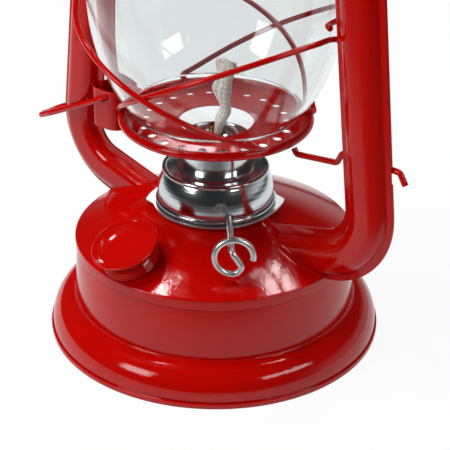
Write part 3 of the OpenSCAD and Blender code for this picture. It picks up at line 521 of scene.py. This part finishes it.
FINISHES = {
    "red_enamel": ("Red stoved enamel", red_enamel),
    "nickel_plate": ("Nickel plate", nickel_plate),
    "zinc_plate": ("Zinc plate", zinc_plate),
    "brass": ("Sheet brass", sheet_brass),
    "clear_glass": ("Clear soda glass", clear_glass),
    "cotton": ("Woven cotton", woven_cotton),
    "cork_rubber": ("Seal rubber", seal_rubber),
}


def finish_of(context, slot):
    """The material of one of the record's slots, made at its first use."""
    name, make = FINISHES[slot]
    return bpy.data.materials.get(name) or make(name, context.scene.lantern_colours)


# Shapes of the lantern


def wall_r(s, z):
    """Radius of the tapered tank wall at a height: a straight line from floor to shoulder."""
    return 0.5 * (s.tank_d + (s.tank_top_d - s.tank_d) * (z - s.floor_z) / (s.shoulder_z - s.floor_z))


def dome_z(s, r):
    """Height of the dome: a cone from shoulder to throat plus a parabolic bulge."""
    t = (s.tank_top_d / 2 - r) / (s.tank_top_d / 2 - s.throat_d / 2)
    return s.shoulder_z + s.dome_rise * t + 4 * s.dome_bulge * t * (1 - t)


def tube_centre(s):
    """Centre line of the right tube in XZ: foot leg, lower bend, leaning leg, upper bend, top leg."""
    foot_leg, top_end = 30, 34
    lean, rise = math.radians(s.tube_lean), math.radians(s.leg_rise)
    low_x = s.tube_reach - s.low_bend_r * math.cos(lean)
    low = arc(low_x, s.low_bend_z, s.low_bend_r, s.leg_rise - 90, s.tube_lean, 40)
    start = low[0] - foot_leg * np.array([math.cos(rise), math.sin(rise)])
    top_z = s.crown_z - s.top_bend_r
    leg_end_z = top_z + s.top_bend_r * math.sin(lean)
    leg_end_x = s.tube_reach - (leg_end_z - low[-1][1]) * math.tan(lean)
    top = arc(leg_end_x - s.top_bend_r * math.cos(lean), top_z, s.top_bend_r, s.tube_lean, 90, 36)
    return np.concatenate([[start], low, top, [[top_end, s.crown_z]]])


def tube_x(s, z):
    """Distance of the long leg's middle from the axis: less by the tangent of the lean as it rises."""
    start_z = s.low_bend_z + s.low_bend_r * math.sin(math.radians(s.tube_lean))
    return s.tube_reach - (z - start_z) * math.tan(math.radians(s.tube_lean))


def tube_section(s):
    """Section of both pressed halves: an obround body and two flanges with a groove at the seam."""
    r, flat, edge, flange_t = s.tube_t / 2, (s.tube_w - s.tube_t) / 2, s.flange_w / 2, 0.62
    half = bend_path(
        [
            (edge - 0.5, 0.0),
            (edge - 0.02, 0.12),
            (edge, flange_t),
            (flat + r + 0.25, flange_t),
            *arc(flat, 0, r, 16, 90, 12),
        ],
        [0, 0.05, 0.25, 0.9] + [0] * 12,
        4,
    )
    left = half[::-1] * [-1, 1]
    upper = np.concatenate([half, left])
    lower = upper[1:-1][::-1] * [1, -1]
    return np.concatenate([upper, lower])


def globe_radius(s, z, globe_z):
    """Outside radius of the globe: two half ellipses that meet at the belly, kept from closing."""
    belly, foot, top = s.globe_d / 2, s.globe_foot_d / 2, s.globe_top_d / 2
    low = s.globe_belly_h / math.sin(math.acos(foot / belly))
    high = (s.globe_h - s.globe_belly_h) / math.sin(math.acos(top / belly))
    rise = np.asarray(z, float) - globe_z - s.globe_belly_h
    return belly * np.sqrt(np.maximum(0.05, 1 - (rise / np.where(rise < 0, low, high)) ** 2))


def globe_foot_z(s):
    """Height of the globe's foot, which stands loose on the guard wires' feet."""
    play = 0.1
    return s.plate_z + s.rim_t / 2 + s.guard_wire + play


def guard_path(s, foot_angle, gap, hook_above):
    """A guard wire from its foot on the plate's rim, round the globe, to its hook at the right tube.

    The angle grows evenly and the height climbs by a sine and a cosine. The radius is the globe's plus a
    gap; high powers of the way lead it out to the rim at the foot and to the tube at the hook.
    """
    globe_z = globe_foot_z(s)
    foot_z, hook_z = globe_z - s.guard_wire / 2 - 0.05, globe_z + hook_above
    rim = s.plate_d / 2 - s.rim_t / 2
    lean = math.radians(s.tube_lean)
    flange = tube_x(s, hook_z) - s.flange_w / 2 / math.cos(lean)
    glass_gap, flange_gap = 1, 2
    hook_r = max(
        float(globe_radius(s, hook_z, globe_z)) + s.guard_wire / 2 + glass_gap,
        flange - s.guard_wire / 2 - flange_gap - s.globe_lift * math.tan(lean),
    )
    start, end = math.radians(foot_angle - 180), math.radians(-5)
    reach = np.array([s.globe_foot_d / 2 - s.glass_t, rim - 1, rim + 1.2])
    foot = np.stack([reach * math.cos(start), reach * math.sin(start), foot_z + 0 * reach], 1)
    t = np.arange(1, s.guard_steps + 1) / s.guard_steps
    turn = start + (end - start) * t
    climb = 0.5 * np.sin(np.pi / 2 * t) + 0.25 * (1 - np.cos(np.pi * t))
    z = foot_z + (hook_z - foot_z) * climb
    near_foot, near_hook = (1 - t) ** 6, t**8
    r = (globe_radius(s, z, globe_z) + gap) * (1 - near_foot - near_hook)
    r += (rim + 2) * near_foot + hook_r * near_hook
    bow = np.stack([r * np.cos(turn), r * np.sin(turn), z], 1)
    hook = [(hook_r, -1, hook_z), (hook_r + 0.7, 1.7, hook_z), (hook_r + 3.2, 3, hook_z)]
    return smooth_path(np.concatenate([foot, bow, hook]), 2)


def foot_profile(s):
    """Profile of the foot: a rolled hem, a groove, a quarter ellipse up to the wall and a paint fillet."""
    foot_r, lap, groove, fillet, thick = s.foot_d / 2, 0.9, 0.4, 0.9, 0.7
    top_r, base = wall_r(s, s.foot_h) + 0.1, s.hem_h + groove
    flare, rise = foot_r - lap - top_r, s.foot_h - base
    t = np.radians(np.linspace(0, 90, 40))
    outer = np.stack([top_r + flare * np.cos(t), base + rise * np.sin(t)], 1)
    inner = np.stack([top_r + (flare - thick) * np.cos(t), base + (rise - thick) * np.sin(t)], 1)
    hem = bend_path(
        [(foot_r - 2, 0), (foot_r, 0), (foot_r - 0.05, s.hem_h - 0.05), (foot_r - 1.5, s.hem_h + 0.05)],
        [0, 0.5, 0.4, 0],
    )
    return np.concatenate(
        [
            hem,
            outer[:-1],
            arc(top_r + fillet, s.foot_h + fillet, fillet, 262, 182, 10),
            [[top_r - 0.2, s.foot_h + fillet], [top_r - 0.2, s.foot_h - 0.5]],
            inner[::-1],
            [[foot_r - 2.2, s.hem_h - groove], [foot_r - 2.2, 0.3]],
        ]
    )


def wall_profile(s):
    """Profile of the drawn can: a flat floor and a straight tapered wall of one sheet."""
    low, high, axis = s.floor_z, s.shoulder_z - 0.4, 0.05
    low_r, high_r = wall_r(s, low), wall_r(s, s.shoulder_z)
    return outline(
        [
            (axis, low, 0),
            (low_r, low, 0.6),
            (high_r, high, 0.2),
            (high_r - s.sheet, high, 0.2),
            (low_r - s.sheet, low + s.sheet, 0.3),
            (axis, low + s.sheet, 0),
        ]
    )


def dome_surface(s):
    """The dome turned about the axis, with a lip folded down over the wall, plus the rise of the bosses."""
    lip_z, proud = s.shoulder_z - s.lip_h, 0.65
    low_r, lip_r = wall_r(s, lip_z), wall_r(s, s.shoulder_z) + proud
    radii = np.linspace(s.tank_top_d / 2 - 1.2, s.throat_d / 2, 60)
    top = np.stack([radii, dome_z(s, radii) + s.sheet], 1)
    under = (top - [0, s.sheet])[::-1]
    edge = bend_path(
        [(low_r - 0.05, lip_z - 0.5), (low_r + 0.4, lip_z + 0.4), (lip_r, s.shoulder_z + 0.4), top[0]],
        [0, 0.8, 1.0, 0],
        10,
    )
    inside = [[lip_r - s.sheet, s.shoulder_z - 0.2], [lip_r - s.sheet, lip_z]]
    grid = turned(np.concatenate([edge[:-1], top, under, inside]), 480)
    lifted = slice(len(edge) - 3, len(edge) - 1 + len(top))
    grid[:, lifted, 2] += boss_height(s, grid[:, lifted])
    return grid


def boss_height(s, points):
    """Rise of the pressed bosses: a smooth step of the distance from the tubes' section on the dome."""
    edge, slope, height, flange_t = 2.1, 0.9, 1.4, 0.6
    rise = math.radians(s.leg_rise)
    low_x = s.tube_reach - s.low_bend_r * math.cos(math.radians(s.tube_lean))
    foot_x = low_x + s.low_bend_r * math.sin(rise)
    foot_z = s.low_bend_z - s.low_bend_r * math.cos(rise)
    x, y, z = np.abs(points[..., 0]), points[..., 1], points[..., 2]
    across = np.abs((z - foot_z) * math.cos(rise) - (x - foot_x) * math.sin(rise))
    body = np.hypot(np.maximum(across - (s.tube_w - s.tube_t) / 2, 0), y) - s.tube_t / 2
    flange = np.hypot(np.maximum(across - s.flange_w / 2, 0), np.maximum(np.abs(y) - flange_t, 0))
    share = np.clip((edge - np.minimum(body, flange)) / slope, 0, 1)
    return height * share * share * (3 - 2 * share)


def wick_surface(s):
    """The wick and its UV map in millimetres: a flat rounded section, carried up with bends and twists.

    Sine and cosine raised to low powers round the section, and a fast cosine makes its ribs. Shift, twist
    and width are given at a few heights, as cloth falls; the first two are smoothed. Two sines
    fray the top.
    """
    turn = math.radians(s.winder_angle - 90)
    along = np.array([math.cos(turn), math.sin(turn), 0])
    across = np.array([-math.sin(turn), math.cos(turn), 0])
    heights = [26, 88, 93, 98, 104, 109.7, 113, 118, 123.5, 127]
    shifts = [0, 0, 0.7, 1.4, 4.2, 2.5, 2.1, 3.6, 4.0, 4.1]
    twists = [0, 0, 2, 9, 16, 34, 48, 30, 42, 46]
    z = np.linspace(heights[0], s.wick_top, 180)
    kernel = np.hanning(9) / np.hanning(9).sum()
    shift, twist = (
        np.convolve(np.pad(np.interp(z, heights, values), 4, mode="edge"), kernel, "valid")[:, None, None]
        for values in (shifts, np.radians(twists))
    )
    narrow = np.interp(z, [0, 88, 96, 104, 113, 118, 127], [1, 1, 0.85, 0.8, 0.86, 0.8, 0.92])[:, None]
    uneven = (1 + 0.06 * np.sin(z * 2.6))[:, None]
    t = np.linspace(0, 2 * np.pi, 64, endpoint=False)
    flat = np.sign(np.cos(t)) * np.abs(np.cos(t)) ** 0.55
    thick = np.sign(np.sin(t)) * np.abs(np.sin(t)) ** 0.7
    ribs, slack = 1 + 0.07 * np.cos(18 * t), 0.98
    wide = slack * s.wick_w / 2 * narrow * flat * ribs
    deep = slack * s.wick_t / 2 * uneven * thick * ribs
    a = np.cos(twist) * along + np.sin(twist) * across
    b = np.cos(twist) * across - np.sin(twist) * along
    grid = wide[..., None] * a + deep[..., None] * b + shift * across
    fray_h, girth = 5, 26
    fray = np.clip((z - s.wick_top + fray_h) / fray_h, 0, 1)[:, None]
    strands = 1.3 * np.sin(9 * t) + 1.0 * np.sin(23 * t + 1) - 2.3
    grid[..., 2] += z[:, None] + fray * strands
    round_it = np.broadcast_to(t / (2 * np.pi) * girth, wide.shape)
    return grid, np.stack([round_it, np.broadcast_to(z[:, None], wide.shape)], 2)


def cap_profile(s):
    """Profile of the filler cap: a beaded skirt, a neck under the rim, a rolled rim and a dished top.

    The beads follow the square of a sine and the dish the fourth power of the radius, so its floor is flat.
    """
    rim, skirt, foot, top = s.cap_d / 2, s.cap_skirt_d / 2, 0.4, s.cap_z
    neck, inside, dish_r, roll = skirt - 0.9, skirt - 0.8, rim - 1.1, 0.5
    bead, dish_floor, dish_depth, axis = 0.5, top + 0.85, 2.1, 0.02
    z = np.linspace(foot, top - 2.9, 60)
    beads = skirt + bead * np.sin(np.linspace(0, s.cap_beads * math.pi, 60)) ** 2
    across = np.concatenate([np.linspace(dish_r, 0.4, 40), [0.12, axis]])
    return np.concatenate(
        [
            [[inside, foot], [skirt - 0.1, foot]],
            np.stack([beads, z], 1),
            bend_path([(neck, top - 2.6), (neck, top + 1.2), (rim - 0.4, top + 2.35)], [0, 0.4, 0], 6),
            arc(rim - roll, top + 2.75, roll, -60, 110, 12),
            np.stack([across, dish_floor + dish_depth * (across / dish_r) ** 4], 1),
            [[axis, top], [inside, top]],
        ]
    )


def on_filler(s, grid):
    """Points about the Z axis set on the dome at the filler, leaning with the dome's slope there."""
    span = (s.tank_top_d - s.throat_d) / 2
    share = (s.tank_top_d / 2 - s.filler_r) / span
    tilt = math.atan((s.dome_rise + 4 * s.dome_bulge * (1 - 2 * share)) / span)
    lean = np.array(Matrix.Rotation(tilt, 3, "Y"))
    about = np.array(Matrix.Rotation(math.radians(s.filler_angle), 3, "Z"))
    return (grid @ lean.T + [s.filler_r, 0, dome_z(s, s.filler_r)]) @ about.T


# Building steps


class LANTERN_OT_tank(bpy.types.Operator):
    """Build the flared foot, the tank wall and the dome with its bosses"""

    bl_idname = "lantern.tank"
    bl_label = "Tank and foot"

    def execute(self, context):
        s = sizes_of(context)
        red = finish_of(context, "red_enamel")
        for name, grid, node in (
            ("foot_flare", turned(foot_profile(s), 256), "foot_skirt"),
            ("tank_wall", turned(wall_profile(s), 256), "tank_shell"),
            ("tank_top", dome_surface(s), "tank_dome"),
        ):
            fit_piece(mesh_object(name, grid), "frame", "red_enamel", red, node)
        return {"FINISHED"}


class LANTERN_OT_tubes(bpy.types.Operator):
    """Build the side tubes by carrying their flanged section along the bends"""

    bl_idname = "lantern.tubes"
    bl_label = "Side tubes"

    def execute(self, context):
        s = sizes_of(context)
        red = finish_of(context, "red_enamel")
        path = spaced(tube_centre(s), 1.6)
        tangents = np.gradient(path, axis=0)
        tangents /= np.linalg.norm(tangents, axis=1)[:, None]
        outward = np.stack([tangents[:, 1], -tangents[:, 0]], 1)
        whole = tube_section(s)
        # The right tube's rear half shows as packed, with the slot of the link wire
        front = whole[whole[:, 1] <= 0.001]
        for side, name, section, halves in (
            (-1, "left_tube", whole, ("left_tube_front", "left_tube_rear")),
            (1, "right_tube_half", front, ("right_tube_front",)),
        ):
            x = path[:, 0][:, None] + section[:, 0][None, :] * outward[:, 0][:, None]
            z = path[:, 1][:, None] + section[:, 0][None, :] * outward[:, 1][:, None]
            y = section[:, 1][None, :] + 0 * x
            obj = mesh_object(name, np.stack([side * x, y, z], 2), wrap_rows=False)
            fit_piece(obj, "frame", "red_enamel", red, *halves)
        return {"FINISHED"}


class LANTERN_OT_globe(bpy.types.Operator):
    """Build the glass globe with rounded rims"""

    bl_idname = "lantern.globe"
    bl_label = "Globe"

    def execute(self, context):
        s = sizes_of(context)
        foot = globe_foot_z(s)
        # Rows stand closer at both rims; the inner wall is the outer one moved along its normal
        near_rim = 0.12
        z = foot + s.globe_h * (0.5 - 0.5 * np.cos(np.linspace(near_rim, math.pi - near_rim, 90)))
        r = globe_radius(s, z, foot)
        slope = np.gradient(r, z)
        lean = np.sqrt(1 + slope**2)
        outer = np.stack([r, z], 1)
        inner = outer + s.glass_t * np.stack([-1 / lean, slope / lean], 1)
        inner = inner[(inner[:, 1] > foot) & (inner[:, 1] < foot + s.globe_h)][::-1]
        rims = [0.5 * (outer[-1] + inner[0]) + [0, 0.35], 0.5 * (outer[0] + inner[-1]) - [0, 0.25]]
        profile = np.concatenate([outer, [rims[0]], inner, [rims[1]]])
        obj = mesh_object("globe_glass", turned(profile, 256))
        fit_piece(obj, "carriage", "clear_glass", finish_of(context, "clear_glass"), "globe")
        return {"FINISHED"}


class LANTERN_OT_guards(bpy.types.Operator):
    """Build the four guard wires round the globe"""

    bl_idname = "lantern.guards"
    bl_label = "Guard wires"

    def execute(self, context):
        s = sizes_of(context)
        red = finish_of(context, "red_enamel")
        rest, step = s.guard_wire / 2 + 1, 0.9
        inner = spaced(guard_path(s, s.inner_foot_angle, rest, 45), step)
        outer = spaced(guard_path(s, s.outer_foot_angle, rest + s.guard_wire + 0.4, 51), step) * [-1, 1, 1]
        for name, path, turn in (
            ("front_inner", inner, 1),
            ("front_outer", outer, 1),
            ("rear_inner", inner, -1),
            ("rear_outer", outer, -1),
        ):
            wire = wire_surface(path * [turn, turn, 1], s.guard_wire / 2)
            obj = mesh_object("wire_" + name, wire, wrap_rows=False)
            fit_piece(obj, "carriage", "red_enamel", red, "guard_" + name)
        return {"FINISHED"}


class LANTERN_OT_wick(bpy.types.Operator):
    """Build the woven wick, twisted, kinked and frayed above the burner"""

    bl_idname = "lantern.wick"
    bl_label = "Wick"

    def execute(self, context):
        grid, uv = wick_surface(sizes_of(context))
        obj = mesh_object("wick_cloth", grid, wrap_rows=False, uv=uv)
        fit_piece(obj, "wick", "cotton", finish_of(context, "cotton"), "wick")
        return {"FINISHED"}


class LANTERN_OT_cap(bpy.types.Operator):
    """Build the filler cap as one smooth pressing with a dished top and a beaded skirt"""

    bl_idname = "lantern.cap"
    bl_label = "Filler cap"

    def execute(self, context):
        s = sizes_of(context)
        obj = mesh_object("cap_pressing", on_filler(s, turned(cap_profile(s), 128)))
        fit_piece(obj, "cap", "red_enamel", finish_of(context, "red_enamel"), "filler_cap")
        return {"FINISHED"}


class LANTERN_OT_metal(bpy.types.Operator):
    """Give every CAD piece that is shown its material"""

    bl_idname = "lantern.metal"
    bl_label = "Materials of the CAD pieces"

    def execute(self, context):
        for entry in frame["record"]["subparts"]:
            node = frame["nodes"][entry["node"]]
            node.data.materials.clear()
            # The seat ring is duller than the burner that it holds
            slot = "zinc_plate" if entry["node"] == "burner_seat" else entry["material_slot"]
            node.data.materials.append(finish_of(context, slot))
        return {"FINISHED"}


# Stage

# Turn of the viewpoint about +Z, from the front towards the right
VIEW_TURN = math.radians(40.01)


def towards(turn, tilt):
    """Direction turned about +Z from the front, -Y, and raised by a tilt."""
    return np.array([math.sin(turn) * math.cos(tilt), -math.cos(turn) * math.cos(tilt), math.sin(tilt)])


def placed(side, up, back, place):
    """Matrix of an object from its own three axes and its place."""
    rows = [[side[k], up[k], back[k], place[k]] for k in range(3)]
    return Matrix([*rows, [0, 0, 0, 1]])


def falling(tree, limits, least):
    """Product of smooth falls, each from 1 where its value starts to the least where it ends."""
    level = 1.0
    for value, start, end in limits:
        fade = add(
            tree,
            "ShaderNodeMapRange",
            {
                "Value": value.outputs["Value"],
                "From Min": start,
                "From Max": end,
                "To Min": 1.0,
                "To Max": least,
            },
            interpolation_type="SMOOTHSTEP",
        )
        product = add(tree, "ShaderNodeMath", {0: level, 1: fade.outputs["Result"]}, operation="MULTIPLY")
        level = product.outputs["Value"]
    return level


class LANTERN_OT_stage(bpy.types.Operator):
    """Set the floor, the studio light and the camera"""

    bl_idname = "lantern.stage"
    bl_label = "Floor, light and camera"

    def execute(self, context):
        scene = context.scene
        scene.view_settings.view_transform = "Standard"
        self.make_floor(scene)
        self.make_world(scene)
        self.make_lamps(scene)
        self.make_camera(scene)
        return {"FINISHED"}

    def make_floor(self, scene):
        """A wide pale floor that is plain white to the camera where nothing shades it.

        Glossy pieces show it bright only in a painted pool of light behind the lantern: white emission that
        fades out with distance, a floor lit as under a studio lamp, seen in them as painted reflections.
        """
        reach = 6
        corners = [(-reach, -reach, 0), (reach, -reach, 0), (reach, reach, 0), (-reach, reach, 0)]
        mesh = bpy.data.meshes.new("floor")
        mesh.from_pydata(corners, [], [(0, 1, 2, 3)])
        floor = bpy.data.objects.new("floor", mesh)
        scene.collection.objects.link(floor)
        made, tree, out, place = new_material("Pale floor")
        grain = add(tree, "ShaderNodeTexNoise", {"Vector": place, "Scale": per_mm(16.7), "Detail": 2})
        rough = add(
            tree, "ShaderNodeMapRange", {"Value": grain.outputs["Fac"], "To Min": 0.75, "To Max": 0.85}
        )
        paper = add(
            tree,
            "ShaderNodeBsdfPrincipled",
            {
                "Base Color": scene.lantern_colours.floor,
                "Roughness": rough.outputs["Result"],
                "Specular IOR Level": 0.1,
            },
        )
        light = add(tree, "ShaderNodeLightPath")
        view = towards(VIEW_TURN, 0)
        painted_pool_centre = tuple(-0.15 * view)
        front = add(tree, "ShaderNodeVectorMath", {0: place, 1: tuple(view)}, operation="DOT_PRODUCT")
        offset = add(tree, "ShaderNodeVectorMath", {0: place, 1: painted_pool_centre}, operation="SUBTRACT")
        away = add(tree, "ShaderNodeVectorMath", {0: offset.outputs["Vector"]}, operation="LENGTH")
        # Painted light: glossy rays see a pool of white emission behind the lantern that fades out with
        # distance
        painted_light_pool = falling(tree, ((front, 0.08, 0.2), (away, 0.3, 0.6)), 0.05)
        shader = paper.outputs["BSDF"]
        for ray, level, weight in (
            ("Is Glossy Ray", painted_light_pool, 0.9),
            ("Is Transmission Ray", 1.0, 0.8),
            ("Is Camera Ray", 1.0, 0.92),
        ):
            share = add(tree, "ShaderNodeMath", {0: light.outputs[ray], 1: weight}, operation="MULTIPLY")
            plain = add(tree, "ShaderNodeEmission", {"Color": rgb("#ffffff"), "Strength": level})
            mix = add(
                tree,
                "ShaderNodeMixShader",
                {0: share.outputs["Value"], 1: shader, 2: plain.outputs["Emission"]},
            )
            shader = mix.outputs["Shader"]
        tree.links.new(shader, out.inputs["Surface"])
        mesh.materials.append(made)

    def make_world(self, scene):
        """A dark studio with a low white wall behind the lantern.

        The camera sees plain white all round, and glass shows white close to the horizon.
        """
        world = bpy.data.worlds.new("Studio")
        scene.world = world
        world.use_nodes = True
        tree = world.node_tree
        tree.nodes.clear()
        out = add(tree, "ShaderNodeOutputWorld")
        way = add(tree, "ShaderNodeTexCoord").outputs["Generated"]
        behind = add(tree, "ShaderNodeVectorMath", {0: way, 1: (-0.2, -0.98, 0)}, operation="DOT_PRODUCT")
        height = add(tree, "ShaderNodeVectorMath", {0: way, 1: (0, 0, 1)}, operation="DOT_PRODUCT")
        wall = falling(tree, ((behind, -0.8, -0.2), (height, 0.1, 0.4)), 0.0)
        level = add(tree, "ShaderNodeMapRange", {"Value": wall, "To Min": 0.03, "To Max": 0.6})
        light = add(tree, "ShaderNodeLightPath")
        low = add(
            tree,
            "ShaderNodeMapRange",
            {
                "Value": height.outputs["Value"],
                "From Min": 0.08,
                "From Max": 0.16,
                "To Min": 0.8,
                "To Max": 0.0,
            },
        )
        seen = level.outputs["Result"]
        for ray, weight in (("Is Transmission Ray", low.outputs["Result"]), ("Is Camera Ray", 1.0)):
            white = add(tree, "ShaderNodeMath", {0: light.outputs[ray], 1: weight}, operation="MULTIPLY")
            most = add(tree, "ShaderNodeMath", {0: seen, 1: white.outputs["Value"]}, operation="MAXIMUM")
            seen = most.outputs["Value"]
        sky = add(tree, "ShaderNodeBackground", {"Color": rgb("#ffffff"), "Strength": seen})
        tree.links.new(sky.outputs["Background"], out.inputs["Surface"])

    def make_lamps(self, scene):
        """A wide fill overhead that shows in no highlight, and five softboxes that do.

        Each lamp has its power in watts, its width, height and place in metres, and faces the tank.
        """
        aim = np.array([0, 0, 0.08])
        for name, power, wide, tall, place in (
            ("top_fill", 11.6, 0.5, 0.5, (-0.36, -0.4, 1.12)),
            ("left_box", 5.0, 0.42, 0.38, (-0.28, -1.05, 0.62)),
            ("right_box", 3.4, 0.7, 0.2, (1.05, 0.05, 0.68)),
            ("rear_left_box", 1.7, 0.26, 0.18, (-0.63, 0.63, 0.76)),
            ("top_left_box", 1.0, 0.1, 0.1, (-0.373, -0.089, 1.074)),
            ("top_right_box", 3.0, 0.24, 0.22, (0.134, 0.453, 1.038)),
        ):
            data = bpy.data.lights.new(name, "AREA")
            data.shape, data.energy, data.size, data.size_y = "RECTANGLE", power, wide, tall
            lamp = bpy.data.objects.new(name, data)
            back = unit(np.array(place) - aim)
            side = unit(np.cross([0, 0, 1], back))
            lamp.matrix_world = placed(side, np.cross(back, side), back, place)
            lamp.visible_glossy = name != "top_fill"
            scene.collection.objects.link(lamp)

    def make_camera(self, scene):
        """The photograph's viewpoint, found from the round rims of foot, shoulder, plate and tubes."""
        data = bpy.data.cameras.new("camera")
        data.lens, data.sensor_width = 111.016, 36.0
        data.clip_start, data.clip_end = 0.01, 50.0
        distance, raised = 0.6464, math.radians(31.94)
        place = distance * towards(VIEW_TURN, raised)
        yaw, pitch, roll = math.radians(39.55), math.radians(28.24), math.radians(0.75)
        back = towards(yaw, pitch)
        level = np.array([math.cos(yaw), math.sin(yaw), 0])
        upright = np.cross(back, level)
        side = math.cos(roll) * level + math.sin(roll) * upright
        up = -math.sin(roll) * level + math.cos(roll) * upright
        camera = bpy.data.objects.new("camera", data)
        camera.matrix_world = placed(side, up, back, place)
        scene.collection.objects.link(camera)
        scene.camera = camera


class LANTERN_PT_panel(bpy.types.Panel):
    """Sizes, colours and building steps of the lantern"""

    bl_idname = "LANTERN_PT_panel"
    bl_label = "Hurricane Lantern"
    bl_space_type = "VIEW_3D"
    bl_region_type = "UI"
    bl_category = "Lantern"

    def draw(self, context):
        layout = self.layout
        for step in STEPS:
            layout.operator(step.bl_idname)
        for group in (context.scene.lantern_sizes, context.scene.lantern_colours):
            box = layout.box()
            for key in type(group).__annotations__:
                box.prop(group, key)


STEPS = (
    LANTERN_OT_metal,
    LANTERN_OT_tank,
    LANTERN_OT_tubes,
    LANTERN_OT_globe,
    LANTERN_OT_guards,
    LANTERN_OT_wick,
    LANTERN_OT_cap,
    LANTERN_OT_stage,
)
CLASSES = (LanternSizes, LanternColours, *STEPS, LANTERN_PT_panel)


def register():
    """Registers the classes and hangs the settings on the scene."""
    for cls in CLASSES:
        bpy.utils.register_class(cls)
    bpy.types.Scene.lantern_sizes = PointerProperty(type=LanternSizes)
    bpy.types.Scene.lantern_colours = PointerProperty(type=LanternColours)


def unregister():
    """Takes the settings and classes away again."""
    del bpy.types.Scene.lantern_colours
    del bpy.types.Scene.lantern_sizes
    for cls in reversed(CLASSES):
        bpy.utils.unregister_class(cls)


def main():
    """Builds everything in order."""
    register()
    bpy.ops.lantern.metal()
    bpy.ops.lantern.tank()
    bpy.ops.lantern.tubes()
    bpy.ops.lantern.globe()
    bpy.ops.lantern.guards()
    bpy.ops.lantern.wick()
    bpy.ops.lantern.cap()
    bpy.ops.lantern.stage()
    bpy.context.view_layer.update()


if __name__ == "__main__":
    main()
